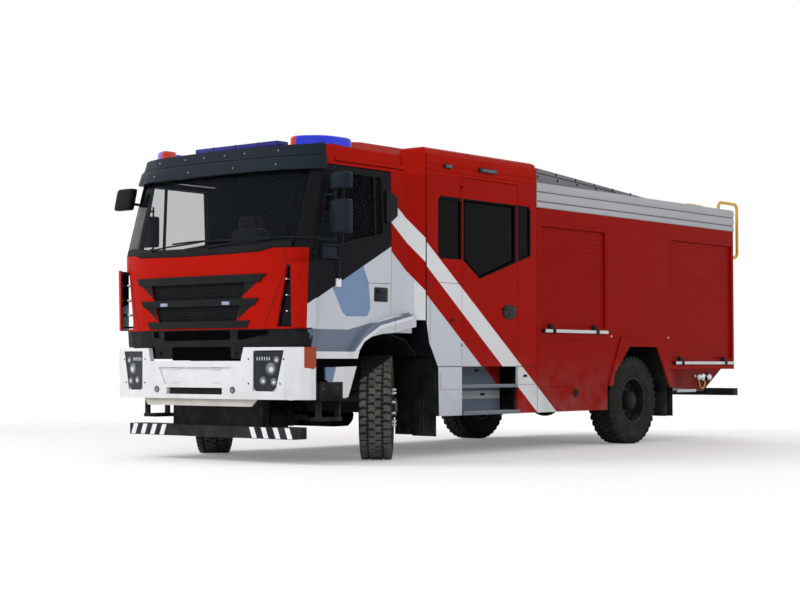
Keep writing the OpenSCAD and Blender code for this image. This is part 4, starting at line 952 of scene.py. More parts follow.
def make_grille():
    mesh = Build("grille_mesh", "trim", slot="trim")
    cell, tall, deep = 0.046, 0.034, Vector((-0.006, 0, 0))
    pitch = tall * 0.75
    for low, high in ((1.522, 1.656), (1.318, 1.446)):
        for i in range(int((high - low) / pitch) + 1):
            z = low + pitch * i + 0.014
            half = grille_side(z) - 0.03
            n = int(half / cell)
            for k in range(-n, n + 1):
                y = cell * (k + 0.5 * (i % 2))
                if abs(y) > half or z > high:
                    continue
                face, hole = [[on_front(y + q * cell * 0.5 * math.sin(t), z + q * tall * 0.5 * math.cos(t), -0.020)
                               for t in turns(6)] for q in (1.0, 0.72)]
                mesh.loop([face, hole, [p + deep for p in hole], [p + deep for p in face]], wrap=True)
    mesh.done(20.0)
    marks = Build("grille_markers", "marker", slot="lamp")
    for y in (-0.413, 0.413):
        mid = on_front(y, 1.472, 0.016)
        marks.box(mid - Vector((0.012, 0.045, 0.016)), mid + Vector((0.014, 0.045, 0.016)), 0.005)
    marks.done()


def make_grille_corners():
    """Dark corners under the ends of the upper bars, and near-black sheets of painted shade in the gaps over the bumper
    """
    dark = Build("grille_corners", "trim", slot="trim")
    for outline in (((0.630, 1.660), (0.775, 1.660), (0.595, 1.533)), ((0.565, 1.449), (0.715, 1.449), (0.543, 1.326))):
        dark.plate([on_front(*q, 0.003) for q in outline], (-0.005, 0, 0))
    dark.pair()
    # Painted shade: near-black sheets set in the openings over the bumper
    gap = Build("bumper_gap", "void", slot="black")

    def spot(y, z):
        return at(1.3915 - 0.066 * y * y - 0.052 * (1.19 - z), y, z)

    low = legs([(-0.60, 1.165), (-0.394, 1.130), (0.594, 1.138), (0.88, 1.185)], 6)
    gap.grid([[spot(y, z) for y, z in low], [spot(y, 1.222) for y, z in low]], (-0.004, 0, 0))
    row = [-0.334 + 0.803 * k / 12 for k in range(13)]
    gap.grid([[spot(y, z) for y in row] for z in (0.945, 1.072)], (-0.004, 0, 0))
    gap.done()


def cowl_height(y):
    steps = [(0.0, 1.919), (0.4, 1.923), (0.8, 1.933), (0.93, 1.965), (1.12, 1.965)]
    y = abs(y)
    for a, b in zip(steps, steps[1:]):
        if y <= b[0]:
            return a[1] + (b[1] - a[1]) * (y - a[0]) / (b[0] - a[0])
    return steps[-1][1]


def make_cowl():
    cowl = Build("cowl", "black", slot="black")
    ys = [-1.1 + 2.2 * k / 44 for k in range(45)]
    rows = []
    for f, out in ((0.0, -0.004), (0.25, 0.008), (0.7, 0.010), (1.0, -0.010)):
        rows.append([on_front(y, cowl_height(y) + 0.002 + f * 0.075, out) for y in ys])
    cowl.grid(rows, (-0.012, 0, 0))
    cowl.done()
    wipers = Build("wipers", "black", slot="black")
    for pivot, tip in ((-0.62, 0.10), (0.18, 0.92)):
        start = on_front(pivot, 2.0, 0.018)
        end = on_front(tip, 2.055, 0.022)
        wipers.rod(start - Vector((0.03, 0, 0)), start + Vector((0.006, 0, 0)), 0.018, 16)
        wipers.tube([start, start.lerp(end, 0.35) + Vector((0.006, 0, 0.004)), start.lerp(end, 0.7), end], 0.008, 8)
        blade = [on_front(tip - 0.42 + 0.84 * k / 8, 2.048 + 0.012 * math.sin(k / 8 * math.pi), 0.014)
                 for k in range(9)]
        wipers.tube(blade, 0.009, 6)
    wipers.done()


def make_screen():
    """The bowed windscreen as one smooth pane"""
    b = Build("screen_pane", "glass", slot="glass")
    rows = []
    for i in range(17):
        f = i / 16
        row = []
        for k in range(65):
            y = -SCREEN_HALF + 2 * SCREEN_HALF * k / 64
            low = cowl_height(y)
            row.append(on_front(y, low + f * (SCREEN_TOP - low), -GLASS_IN))
        rows.append(row)
    b.grid(rows, (-0.006, 0, -0.001))
    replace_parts(b.done(60.0), "windscreen")


def make_visor():
    """The visor in two tiers with soft edges, wrapped round the cab's corners"""
    b = Build("visor_shell", "anthracite", slot="anthracite")
    profile = [(0.002, 2.691), (0.030, 2.690), (0.039, 2.694), (0.040, 2.704), (0.040, 2.806), (0.037, 2.816),
               (0.028, 2.820), (0.028, 2.930), (0.024, 2.940), (0.014, 2.9445), (-0.030, 2.945), (-0.030, 2.880),
               (0.002, 2.872)]
    rings = []
    ends = [1.0 + 0.02 * k for k in range(1, 7)]
    for u in [-e for e in ends[::-1]] + [-1 + 2 * k / 80 for k in range(81)] + ends:
        ring = []
        for out, z in profile:
            if abs(u) > 1.0 and round_cab(u, z, out).x - DATUM < VISOR_CUT:
                z = max(z, VISOR_CUT_LOW)
            spot = round_cab(u, z, out)
            spot.x = max(spot.x, DATUM + VISOR_BACK)
            ring.append(spot)
        rings.append(ring)
    b.loop(rings)
    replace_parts(b.done(40.0), "visor")
    seam = Build("visor_seam", "void", slot="trim")
    seam.tube([round_cab(-1.01 + 2.02 * k / 80, 2.822, 0.0285) for k in range(81)], 0.0026, 6)
    seam.done()


# Heights on the front panel: its foot, the grille's opening and the ducts beside it
PANEL_LOW = 1.232
GRILLE_LOW, GRILLE_TOP = 1.252, 1.664
DUCT_LOW, DUCT_TOP = 1.262, 1.812


def duct_edge(z):
    """Half width of the panel between the ducts at a height"""
    return 0.962 + (z - DUCT_LOW) * (1.062 - 0.962) / (DUCT_TOP - DUCT_LOW)


def grille_side(z):
    """Half width of the grille's opening at a height"""
    return 0.505 + (z - GRILLE_LOW) * (0.640 - 0.505) / (GRILLE_TOP - GRILLE_LOW)


def make_front_panel():
    """The red front with the grille's opening, as smooth sheets that meet edge to edge"""
    b = Build("front_shell", "front", slot="red")
    deep = (-0.018, 0, 0)

    def band(low, high, left, right, rows, columns):
        sheet = []
        for i in range(rows + 1):
            row = []
            for k in range(columns + 1):
                g = k / columns
                top = high(left(0) + g * (right(0) - left(0))) if callable(high) else high
                z = low + i / rows * (top - low)
                y = left(z) + g * (right(z) - left(z))
                row.append(on_front(y, z))
            sheet.append(row)
        b.grid(sheet, deep)

    def all_wide(sign):
        return lambda z: sign * (cab_level(z)[1] - 0.0005) if z else sign * CAB

    band(DUCT_TOP, cowl_height, all_wide(-1), all_wide(1), 4, 96)
    band(GRILLE_TOP, DUCT_TOP, lambda z: -duct_edge(z or 1.7), lambda z: duct_edge(z or 1.7), 4, 72)
    for sign in (-1, 1):
        band(DUCT_LOW, GRILLE_TOP, lambda z: sign * grille_side(z or 1.4), lambda z: sign * duct_edge(z or 1.4), 8, 24)
    band(GRILLE_LOW, DUCT_LOW, lambda z: -duct_edge(DUCT_LOW), lambda z: duct_edge(DUCT_LOW), 1, 72)
    band(PANEL_LOW, GRILLE_LOW, all_wide(-1), all_wide(1), 1, 96)
    for side in (-1, 1):
        for low, high in ((DUCT_TOP, 1.9645), (PANEL_LOW + 0.0005, GRILLE_LOW)):
            corner = [[round_cab(side * u, z) for u in (1.0, 1.02, 1.04, 1.058)] for z in (low, high)]
            b.grid(corner, (0, -side * 0.018, 0))
        x, y, z = CAB_HINGE_X, side * (CAB + 0.013), 1.895
        b.rod(at(x, y, z - 0.035), at(x, y, z - 0.0175), 0.0075, 16)
        b.rod(at(x, y, z + 0.0175), at(x, y, z + 0.035), 0.0075, 16)
        b.rod(at(x, y, z - 0.034), at(x, y, z + 0.034), 0.0045, 12)
        near, far = sorted((y + side * 0.003, y - side * 0.018))
        for low in (z - 0.035, z + 0.0175):
            b.box(at(x + 0.003, near, low), at(x + 0.045, far, low + 0.0175), 0.002)
    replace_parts(b.done(30.0), "front_panel")
    lines = Build("front_seams", "black", slot="black")
    seam = legs([(1.037, 1.945), (1.060, 1.80), (0.831, 1.236)], 12)
    for side in (-1, 1):
        lines.grid([[on_front(side * (y + w), z, 0.0008) for y, z in seam] for w in (-0.0025, 0.0025)], (-0.003, 0, 0))
    lines.done()


def make_beacons():
    """Domed corner beacons and the long bar, in place of the plain forms"""
    plan = [(-0.640, -0.045), (-0.640, -0.155), (-0.460, -0.195), (-0.360, -0.255), (-0.300, -0.365), (-0.150, -0.365),
            (-0.180, -0.245), (-0.280, -0.115), (-0.400, -0.055)]
    n = len(plan)
    outline = []
    for k in range(n):
        outline += spline([plan[(k + j) % n] for j in (-1, 0, 1, 2)], 6)
    mx, my = [sum(p[j] for p in outline) / len(outline) for j in (0, 1)]
    b = Build("beacon_domes", "beacon", slot="blue")
    rings = []
    for z, grow in ((2.925, 1.0), (2.995, 0.995), (3.012, 0.965), (3.022, 0.90), (3.0265, 0.78)):
        rings.append([at(CORNER + mx + (x - mx) * grow, CAB + my + (y - my) * grow, z) for x, y in outline])
    b.loop(rings)
    b.mirror()
    domes = b.done(50.0)
    bar = Build("light_bar", "blue", slot="blue")
    bar.box(at(BAR_BACK, -0.555, 2.972), at(BAR_FRONT, 0.555, 3.021), 0.012)
    bar.done()
    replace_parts(domes, "beacons")
    base = Build("light_bar_base", "gloss", slot="trim")
    base.box(at(BAR_BACK - 0.004, -0.559, 2.955), at(BAR_FRONT + 0.004, 0.559, 2.9735), 0.004)
    for y in (-0.30, 0.0, 0.30):
        base.box(at(BAR_BACK - 0.001, y - 0.010, 2.965), at(BAR_FRONT + 0.001, y + 0.010, 3.0214), 0.004)
    base.done()


def make_visor_trim():
    screws = Build("visor_screws", "nut", slot="trim")
    for z, out, gaps in ((2.745, 0.041, (0.30, 0.82)), (2.88, 0.029, (0.14, 0.40, 0.80))):
        for y in [side * gap for gap in gaps for side in (1, -1)]:
            screws.dome(on_front(y, z, out), (1, 0, 0.3), 0.006, 0.003, 10)
    screws.done()


def make_under_parts():
    """The casing round the front axle, plates behind the bumper, inner flaps and step bolts"""
    dark = Build("under_parts", "void", slot="chassis")
    casing = [(0.10, 0.46), (0.16, 0.40), (0.14, 0.33), (0.08, 0.305), (-0.02, 0.305), (-0.07, 0.34), (-0.08, 0.42),
              (-0.04, 0.47)]
    rings = []
    for y, grow in ((-0.72, 0.55), (-0.66, 0.9), (-0.55, 1.0), (0.55, 1.0), (0.66, 0.95), (0.72, 0.6)):
        rings.append([at(0.04 + (x - 0.04) * grow, y, 0.45 + (z - 0.45) * grow) for x, z in casing])
    dark.loop(rings)
    for y0, y1, z0, z1 in ((0.58, 0.886, 0.345, 0.58), (0.880, 1.06, 0.405, 0.455), (0.880, 1.06, 0.490, 0.58)):
        dark.box(at(0.995, y0, z0), at(1.003, y1, z1), 0.001)
    dark.done()
    flaps = Build("inner_flaps", "black", slot="black")
    flaps.box(at(-0.652, 0.735, 0.215), at(-0.644, 0.966, 0.862), 0.001)
    flaps.box(at(-5.196, 0.93, 0.300), at(-5.188, 1.240, 0.640), 0.001)
    flaps.pair()
    bolts = Build("step_bolts", "hub", slot="trim")
    for x, z in ((0.945, 0.687), (0.744, 0.690)):
        bolts.rod(at(x, CAB - 0.017, z), at(x, CAB - 0.010, z), 0.010, 10, 0.008)
    bolts.pair()


def make_bumper_trim():
    dark = Build("bumper_trim", "black", slot="black")
    dark.box(at(1.345, -0.37, 0.633), at(1.372, 0.37, 0.693), 0.003)
    for y in (-0.507, 0.507):
        ring = [at(1.414, y + 0.026 * math.cos(t), 0.676 + 0.026 * math.sin(t)) for t in turns(24)]
        dark.tube(ring, 0.004, 8, wrap=True)
    for y in (-0.505, 0.505):
        dark.rod(at(1.365, y, 1.012), at(1.388, y, 1.012), 0.016, 16)
    dark.done()
    lips = Build("plate_hooks", "white", slot="white")
    for y in (-0.27, 0.27):
        lips.box(at(1.392, y - 0.07, 0.866), at(1.406, y + 0.07, 0.874), 0.002)
        lips.box(at(1.392, y - 0.05, 0.742), at(1.401, y + 0.05, 0.749), 0.002)
    lips.done()
    # The white lens material glows faintly here: painted light on the stripes, which are no lamps
    stripe = Build("bar_stripes", "lamp_white", slot="white")
    face = 1.2305
    for side in (1, -1):
        for k in range(4):
            y = 0.545 + 0.149 * k if side > 0 else 0.565 + 0.135 * k
            slant = ((0.0, 0.335), (0.06, 0.335), (0.10, 0.235), (0.04, 0.235))
            stripe.plate([at(face, side * (y + shift), z) for shift, z in slant], (0.002, 0, 0))
    stripe.done()
    # The white lens material glows faintly here: painted light on the clips, which are no lamps
    clips = Build("vane_clips", "lamp_white", slot="white")
    for z in (1.392, 1.537, 1.682):
        p = on_front(1.066, z, -0.01)
        clips.box(p - Vector((0.03, 0.012, 0.006)), p + Vector((0.03, 0.012, 0.006)), 0.003)
    clips.pair()


# Doors

FLIP_SIDE = Matrix.Diagonal((1, -1, 1, 1))


def cab_face(station, z, out):
    """A point on the cab's left side at a height, moved out of the surface"""
    return at(station, cab_level(z)[1] + out, z)


def make_cab_door(side, word):
    body = "cab_door_" + word
    parts = []
    seal = Build("window_seal_" + word, "black", body, "black")
    outline = [(0.862, 2.690), (1.008, 2.020), (0.660, 2.020), (0.540, 2.060), (0.100, 2.147), (0.130, 2.690)]
    seal.tube([cab_face(x, z, -0.004) for x, z in outline], 0.011, 8, wrap=True)
    seal.tube([cab_face(x, z, -0.008) for x, z in ((0.690, 2.03), (0.668, 2.685))], 0.016, 8)
    if side > 0:
        seal.tube([cab_face(x, z, -0.006) for x, z in ((0.215, 2.13), (0.232, 2.685))], 0.009, 8)
    parts.append(seal)
    lines = Build("door_lines_" + word, "black", body, "black")
    lines.plate([cab_face(0.335, 1.676, 0.0005), cab_face(0.335, 1.672, 0.0005), cab_face(-0.006, 1.679, 0.0005),
                 cab_face(-0.006, 1.683, 0.0005)], (0, -0.002, 0))
    # Black guard plate behind the window
    guard = [(0.085, 2.56), (0.045, 2.575), (-0.075, 2.50), (-0.075, 2.33), (0.045, 2.25), (0.085, 2.27)]
    lines.plate([at(x, CAB + 0.013, z) for x, z in guard], (0, 0.012, 0))
    lines.box(at(0.02, CAB - 0.01, 2.34), at(0.06, CAB + 0.014, 2.50), 0.002)
    parts.append(lines)
    grip = Build("door_handle_" + word, "gloss", body, "black")
    grip.box(cab_face(0.042, 1.503, -0.012), cab_face(0.238, 1.640, 0.010), 0.014)
    grip.box(cab_face(0.070, 1.585, 0.004), cab_face(0.210, 1.612, 0.030), 0.008)
    parts.append(grip)
    mark = Build("door_marker_" + word, "lamp_white", body, "white")
    mark.box(cab_face(0.725, 1.622, -0.004), cab_face(0.785, 1.70, 0.022), 0.008)
    mark.box(cab_face(1.06, 1.39, -0.004), cab_face(1.088, 1.425, 0.010), 0.004)
    parts.append(mark)
    rail = Build("mirror_bracket_" + word, "anthracite", body, "black")
    rail.box(cab_face(0.79, 1.885, -0.004), cab_face(1.005, 1.99, 0.030), 0.012)
    rim = [(0.775, 1.885), (0.79, 2.0), (1.0, 2.0), (1.018, 1.885)]
    rail.tube([cab_face(x, z, 0.034) for x, z in rim], 0.011, 8, wrap=True)
    rail.tube([cab_face(0.772, 1.89, 0.030), cab_face(0.765, 1.80, 0.022), cab_face(0.755, 1.69, 0.016)], 0.010, 8)
    parts.append(rail)
    for b in parts:
        if side < 0:
            b.move(FLIP_SIDE)
        b.done()


MIRROR_PLAN = [(-0.255, 0.050), (-0.215, 0.042), (-0.170, 0.052), (-0.150, 0.084), (-0.146, 0.150), (-0.150, 0.214),
               (-0.170, 0.246), (-0.215, 0.258), (-0.255, 0.252)]
KERB_PLAN = [(-0.030, 0.0), (0.020, -0.005), (0.045, 0.012), (0.056, 0.060), (0.058, 0.130), (0.054, 0.205),
             (0.040, 0.248), (0.015, 0.258), (-0.030, 0.250)]
DOOR_FRONT = 1.095
RIGHT_BACK = 0.140


def housing(b, plan, low, high, shift, lean=0.0):
    """A mirror housing: the plan's soft outline, drawn in at the top and the bottom"""
    n = len(plan)
    outline = []
    for k in range(n - 1):
        outline += spline([plan[max(k - 1, 0)], plan[k], plan[k + 1], plan[min(k + 2, n - 1)]], 5)
    outline.append(plan[-1])
    xs, ys = [p[0] for p in plan], [p[1] for p in plan]
    mx, my = min(xs), (min(ys) + max(ys)) / 2
    rings = []
    for z, grow in ((low, 0.86), (low + 0.006, 0.94), (low + 0.018, 0.985), (low + 0.04, 0.999), (high - 0.045, 0.999),
                    (high - 0.020, 0.985), (high - 0.007, 0.94), (high, 0.85)):
        rings.append([at(DOOR_FRONT + mx + (x - mx) * grow - shift, CAB + my + (y - my) * grow - lean * (z - low), z)
                      for x, y in outline])
    b.loop(rings)


def make_mirrors(side, word):
    """Rounded housings on one tube, in place of the plain forms"""
    b = Build("mirror_housings_" + word, "anthracite" if side > 0 else "trim", "cab_door_" + word, "black")
    back = 0.0 if side > 0 else RIGHT_BACK
    housing(b, MIRROR_PLAN, 2.1005, 2.4095, back)
    x, y = DOOR_FRONT - 0.205 - back, CAB + 0.085
    b.rod(at(x, y, 2.032), at(x, y, 2.507), 0.0099, 12)
    b.tube([cab_face(DOOR_FRONT - 0.155, 2.46, -0.001), at(x, y, 2.46)], 0.0135, 12)
    b.tube([cab_face(DOOR_FRONT - 0.065, 2.05, -0.001), at(x, y, 2.05)], 0.0135, 12)
    if side > 0:
        housing(b, MIRROR_PLAN, 2.5075, 2.6605, 0.0)
    else:
        # The kerb mirror is narrower and leans out at its foot
        housing(b, [(x, 0.237 - (0.237 - y) * 0.88) for x, y in KERB_PLAN], 2.4505, 2.6595, 0.0, 0.28)
        b.tube([cab_face(DOOR_FRONT - 0.165, 2.50, -0.001), at(DOOR_FRONT, CAB + 0.088, 2.52)], 0.0135, 12)
    if side < 0:
        b.move(FLIP_SIDE)
    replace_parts(b.done(50.0), "mirrors_" + word)


def make_mirror_glass(side, word):
    b = Build("mirror_faces_" + word, "chrome", "cab_door_" + word, "glass")
    shift = 0.0 if side > 0 else RIGHT_BACK
    rows = [(2.115, 2.395, 0.84 - shift)]
    if side > 0:
        rows.append((2.52, 2.65, 0.84))
    for low, high, x in rows:
        near, far = sorted((side * (CAB + 0.065), side * (CAB + 0.237)))
        b.box(at(x - 0.005, near, low), at(x + 0.001, far, high), 0.002)
    if side < 0:
        b.box(at(1.060, -(CAB + 0.165), 2.475), at(1.0655, -(CAB + 0.055), 2.635), 0.002)
    b.done()


def make_crew_door(side, word):
    body = "crew_door_%s_body" % word
    seal = Build("crew_seal_" + word, "void", body, "black")
    outline = [(-1.094, 2.550), (-1.940, 2.550), (-1.940, 1.985), (-1.340, 1.791), (-1.094, 1.957)]
    seal.tube([at(x, side * (SIDE - 0.006), z) for x, z in outline], 0.010, 8, wrap=True)
    seal.done()
    grip = Build("crew_handle_" + word, "gloss", body, "black")
    for a, h, out, deep in ((0.118, 0.076, 0.010, 0.016), (0.104, 0.064, 0.014, 0.010)):
        oval = [at(-1.845 + a * math.cos(t), side * (SIDE + out), 1.452 + h * math.sin(t)) for t in turns(40)]
        grip.plate(oval, (0, -side * deep, 0))
    grip.box(at(-1.955, side * (SIDE + 0.014) - 0.010, 1.462), at(-1.735, side * (SIDE + 0.014) + 0.010, 1.490), 0.006)
    grip.rod(at(-1.845, side * (SIDE + 0.010), 1.425), at(-1.845, side * (SIDE + 0.020), 1.425), 0.016, 12)
    grip.done()


# Crew cabin and body, drawn for the left and mirrored

def side_line(b, points, w=0.004):
    """A thin dark joint line on the body's side"""
    y = SIDE + 0.0006
    for (xa, za), (xb, zb) in zip(points, points[1:]):
        dx, dz = xb - xa, zb - za
        n = math.hypot(dx, dz)
        ox, oz = -dz / n * w / 2, dx / n * w / 2
        b.plate([at(xa + ox, y, za + oz), at(xb + ox, y, zb + oz), at(xb - ox, y, zb - oz), at(xa - ox, y, za - oz)],
                (0, -0.003, 0))


def make_crew_trim():
    lines = Build("crew_lines", "black", slot="black")
    side_line(lines, [(-0.665, 0.888), (-1.043, 0.888)], 0.007)
    side_line(lines, [(-2.007, 0.888), (-2.345, 0.888)], 0.007)
    side_line(lines, [(-0.535, 1.13), (-0.535, 1.715), (-1.042, 1.715)])
    side_line(lines, [(-0.70, 0.83), (-0.70, 0.66), (-1.0, 0.66)], 0.003)
    side_line(lines, [(-2.03, 0.70), (-2.33, 0.70)], 0.003)
    lines.pair()
    lamps = Build("crew_side_lamps", "lamp", slot="lamp")
    lamps.box(at(-0.868, SIDE - 0.004, 2.850), at(-0.748, SIDE + 0.026, 2.892), 0.008)
    lamps.box(at(-1.605, SIDE - 0.004, 2.858), at(-1.315, SIDE + 0.030, 2.902), 0.010)
    lamps.pair()
    bright = Build("crew_lamp_lenses", "lamp_grey", slot="lamp")
    bright.box(at(-1.565, SIDE + 0.020, 2.866), at(-1.355, SIDE + 0.034, 2.894), 0.005)
    bright.box(at(-0.848, SIDE + 0.016, 2.857), at(-0.768, SIDE + 0.030, 2.885), 0.005)
    bright.pair()
    steps = Build("step_treads", "tread", slot="tread")
    for z, out in ((0.702, SIDE - 0.012), (0.436, SIDE + 0.026)):
        for i in range(22):
            x = -1.98 + 0.0425 * i
            steps.rod(at(x, out, z - 0.016), at(x, out + 0.005, z - 0.016), 0.007, 8, 0.005)
        for i in range(16):
            x = -1.965 + 0.058 * i
            for k in range(4):
                y = out - 0.03 - 0.045 * k
                steps.rod(at(x, y, z - 0.001), at(x, y, z + 0.004), 0.010, 8, 0.007)
        steps.box(at(-2.0, out - 0.012, z - 0.004), at(-1.052, out + 0.003, z + 0.003), 0.003)
    steps.pair()
    catches = Build("step_catches", "black", slot="black")
    for x, z in ((-1.60, 0.845), (-1.70, 0.60), (-0.882, 1.348), (-2.13, 0.79)):
        y = SIDE - 0.240 if -2.0 < x < -1.06 else SIDE
        catches.box(at(x - 0.03, y - 0.004, z - 0.012), at(x + 0.03, y + 0.010, z + 0.012), 0.004)
    catches.pair()


def make_shutter_bars():
    bars = Build("shutter_bars", "aluminium", slot="aluminium")
    marks = Build("shutter_brackets", "black", slot="black")
    for a, b, z in ((-2.44, -3.69, 1.27), (-5.15, -6.60, 0.93)):
        bars.box(at(b - 0.02, SIDE + 0.002, z - 0.022), at(a - 0.03, SIDE + 0.030, z + 0.016), 0.010)
        for x in (a - 0.20, b + 0.20):
            marks.box(at(x - 0.030, SIDE - 0.012, z - 0.026), at(x + 0.030, SIDE + 0.034, z + 0.020), 0.006)
            marks.rod(at(x + 0.04, SIDE - 0.012, z + 0.036), at(x + 0.04, SIDE + 0.028, z + 0.036), 0.036, 20, 0.032)
        marks.box(at(a - 0.032, SIDE - 0.004, z - 0.024), at(a - 0.004, SIDE + 0.032, z + 0.020), 0.006)
    for b in (bars, marks):
        b.pair()


def make_body_trim():
    """Joint lines, pins and the bolts of the roof plates"""
    lines = Build("body_lines", "seam", slot="red")
    side_line(lines, [(-2.40, 1.171), (-3.70, 1.171)])
    side_line(lines, [(-2.40, 0.672), (-3.68, 0.672)])
    side_line(lines, [(-2.352, 0.41), (-2.352, 2.57)], 0.006)
    side_line(lines, [(-3.70, 1.2165), (-3.99, 1.2165)], 0.003)
    side_line(lines, [(-2.40, 2.43), (-3.73, 2.43), (-3.73, 1.24)], 0.003)
    side_line(lines, [(-5.11, 1.24), (-5.11, 2.43), (-6.63, 2.43)], 0.003)
    lines.pair()
    pins = Build("body_pins", "nut", slot="aluminium")
    for x in (-3.81, -5.05):
        pins.dome(at(x, SIDE, 1.225), (0, 1, 0), 0.012, 0.006, 12)
    pins.pair()
    bolts = Build("plate_bolts", "black", slot="black")
    for k in range(6):
        bolts.dome(at(-2.64 - 0.385 * k, 1.0605, 3.012 - 0.0225 * k), (0, 1, 0), 0.015, 0.006, 12)
        if k < 4:
            bolts.dome(at(-2.67 - 0.385 * k, 1.0605, 2.945 - 0.014 * k), (0, 1, 0), 0.015, 0.006, 12)
    xa, za, xb, zb = -2.33, 3.009, -4.25, 2.901
    edge = [(xa, za), (xb, zb), (xb, zb - 0.009), (xa, za - 0.009)]
    bolts.plate([at(x, 1.0608, z) for x, z in edge], (0, -0.002, 0))
    bolts.pair()


def make_low_trim():
    """Side markers, the hose valve with its hook, the rear step and the ribs of the front flaps"""
    round_lamp = Build("side_markers", "black", slot="black")
    round_lamp.rod(at(-3.08, SIDE - 0.004, 0.60), at(-3.08, SIDE + 0.014, 0.60), 0.045, 24, 0.040)
    round_lamp.pair()
    valve = Build("hose_valves", "nut", slot="aluminium")
    valve.rod(at(-5.77, 1.247, 0.757), at(-6.08, 1.247, 0.752), 0.027, 16)
    for x, r in ((-5.80, 0.040), (-5.90, 0.050), (-6.05, 0.044)):
        valve.dome(at(x, 1.247, 0.755), (0, 1, 0), r, 0.034, 16)
    valve.pair()
    # A near-black plug in the valve's opening, as painted shade in the hole
    port = Build("hose_ports", "void", slot="black")
    port.rod(at(-5.93, 1.25, 0.744), at(-5.93, 1.284, 0.744), 0.026, 16)
    port.pair()
    hook = Build("hose_hooks", "brass", slot="aluminium")
    hook.dome(at(-5.70, 1.247, 0.768), (0, 1, 0), 0.024, 0.024, 12)
    bend = [(-5.80, 0.735), (-5.815, 0.66), (-5.85, 0.62), (-5.90, 0.62), (-5.94, 0.665), (-5.95, 0.73)]
    hook.tube([at(x, 1.25, z) for x, z in bend], 0.010, 8)
    hook.pair()
    step = Build("rear_step", "silver", slot="aluminium")
    step.box(at(-5.76, 1.21, 0.577), at(-5.33, 1.236, 0.612), 0.005)
    step.pair()
    flap = Build("flap_ribs", "black", slot="black")
    for k in range(6):
        y = 0.985 + 0.045 * k
        flap.box(at(-0.641, y, 0.24), at(-0.634, y + 0.012, 0.84), 0.002)
    flap.pair()


def make_cornice():
    """The roof edge in three soft tiers, with the cross piece at the back"""
    b = Build("cornice_shell", "cornice", slot="aluminium")
    face = [(1.2695, 2.5755), (1.279, 2.582), (1.283, 2.604), (1.279, 2.630), (1.268, 2.6395), (1.266, 2.6435),
            (1.268, 2.6475), (1.279, 2.657), (1.2835, 2.692), (1.279, 2.729), (1.268, 2.7405), (1.266, 2.7445),
            (1.268, 2.7485), (1.279, 2.758), (1.2835, 2.785), (1.2815, 2.812), (1.272, 2.834), (1.254, 2.8435),
            (1.225, 2.8455), (1.1505, 2.8455), (1.1505, 2.5755)]
    for side in (1, -1):
        b.loop([[at(x, side * y, z) for y, z in face] for x in (BODY_BACK, CREW_BACK)])
    b.box(at(BODY_BACK, -1.1505, DECK), at(BODY_BACK + 0.06, 1.1505, 2.8455), 0.006)
    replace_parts(b.done(40.0), "cornices")


def make_back():
    x = BODY_BACK
    for name, mat, low, high in (("rear_lamp_stop", "lamp_red", 0.915, 1.005),
                                 ("rear_lamp_turn", "amber", 1.012, 1.085),
                                 ("rear_lamp_reverse", "lamp_white", 1.092, 1.165)):
        b = Build(name, mat, slot="lamp")
        b.box(at(x - 0.046, SIDE - 0.255, low), at(x - 0.036, SIDE - 0.045, high), 0.004)
        b.pair()
    dark = Build("back_trim", "black", slot="black")
    dark.box(at(x - 0.012, -0.27, 1.08), at(x + 0.002, 0.27, 1.20), 0.004)
    dark.box(at(x - 0.004, -0.61, 1.345), at(x + 0.026, 0.61, 1.375), 0.005)
    for y in (-0.35, 0.35):
        dark.box(at(x - 0.020, y - 0.04, 1.335), at(x + 0.024, y + 0.04, 1.395), 0.006)
    dark.done()
    plate = Build("back_plate", "white", slot="white")
    plate.box(at(x - 0.018, -0.26, 1.085), at(x - 0.011, 0.26, 1.195), 0.003)
    plate.done()
    rubber = Build("rung_grips", "black", slot="black")
    for k in range(5):
        z = 1.06 + 0.27 * k
        rubber.rod(at(x - 0.110, 0.76, z), at(x - 0.110, 1.0, z), 0.0165, 12)
    rubber.done()


# Padded seats

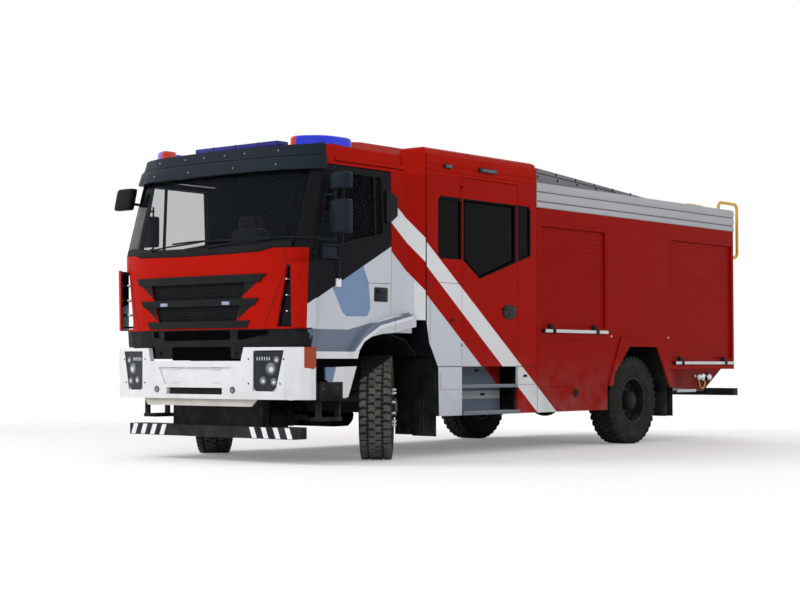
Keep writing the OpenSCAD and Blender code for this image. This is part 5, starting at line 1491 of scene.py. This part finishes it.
def cushion(b, low, high, crown):
    """A pillow form: crowned top, sides pulled in between the corners"""
    low, high = Vector(low), Vector(high)
    mid, half = (low + high) / 2, (high - low) / 2
    rings = []
    steps = 12
    for i in range(steps + 1):
        v = math.pi * (i / steps - 0.5)
        lift = math.copysign(abs(math.sin(v)) ** 0.55, math.sin(v))
        wide_part = max(abs(math.cos(v)) ** 0.28, 0.02)
        ring = []
        for t in turns(40):
            cx = math.copysign(abs(math.cos(t)) ** 0.32, math.cos(t))
            cy = math.copysign(abs(math.sin(t)) ** 0.32, math.sin(t))
            pull = 1.0 - 0.02 * (1 - abs(cx * cy))
            bulge = 1.0 - crown * (max(abs(cx), abs(cy)) * wide_part) ** 2 if lift > 0 else 1.0
            ring.append((mid.x + half.x * cx * wide_part * pull, mid.y + half.y * cy * wide_part * pull,
                         mid.z + half.z * lift * bulge))
        rings.append(ring)
    b.loop(rings)


SEATS = [(0.540, 0.560, 0.50, 1.280), (0.540, -0.560, 0.50, 1.280), (-1.780, 0.0, 2.20, 1.040)]


def make_seats():
    pads = Build("seat_pads", "seat", slot="seat")
    bases = Build("seat_bases", "black", slot="black")
    for x, y, w, floor in SEATS:
        n = 1 if w < 1 else 4
        for k in range(n):
            y0 = y - w / 2 + w / n * k + 0.006
            y1 = y - w / 2 + w / n * (k + 1) - 0.006
            cushion(pads, at(x - 0.47, y0, floor + 0.31), at(x, y1, floor + 0.455), 0.18)
            cushion(pads, at(x - 0.50, y0, floor + 0.43), at(x - 0.375, y1, floor + 1.02), 0.06)
            ym = (y0 + y1) / 2
            cushion(pads, at(x - 0.49, ym - 0.13, floor + 1.0), at(x - 0.39, ym + 0.13, floor + 1.13), 0.06)
        bases.box(at(x - 0.43, y - w / 2 + 0.06, floor + 0.001), at(x - 0.06, y + w / 2 - 0.06, floor + 0.325), 0.02)
    pad = pads.done(60.0)
    soft = pad.modifiers.new("soft", "SUBSURF")
    soft.levels = soft.render_levels = 1
    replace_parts(pad, "seats")
    bases.done()


make_wheels()
make_head_lamps()
make_grille()
make_grille_corners()
make_under_parts()
make_cowl()
make_screen()
make_visor()
make_front_panel()
make_beacons()
make_visor_trim()
make_bumper_trim()
for turn_side, turn_word in ((1, "left"), (-1, "right")):
    make_cab_door(turn_side, turn_word)
    make_mirrors(turn_side, turn_word)
    make_mirror_glass(turn_side, turn_word)
    make_crew_door(turn_side, turn_word)
make_crew_trim()
make_shutter_bars()
make_body_trim()
make_low_trim()
make_cornice()
make_back()
make_seats()
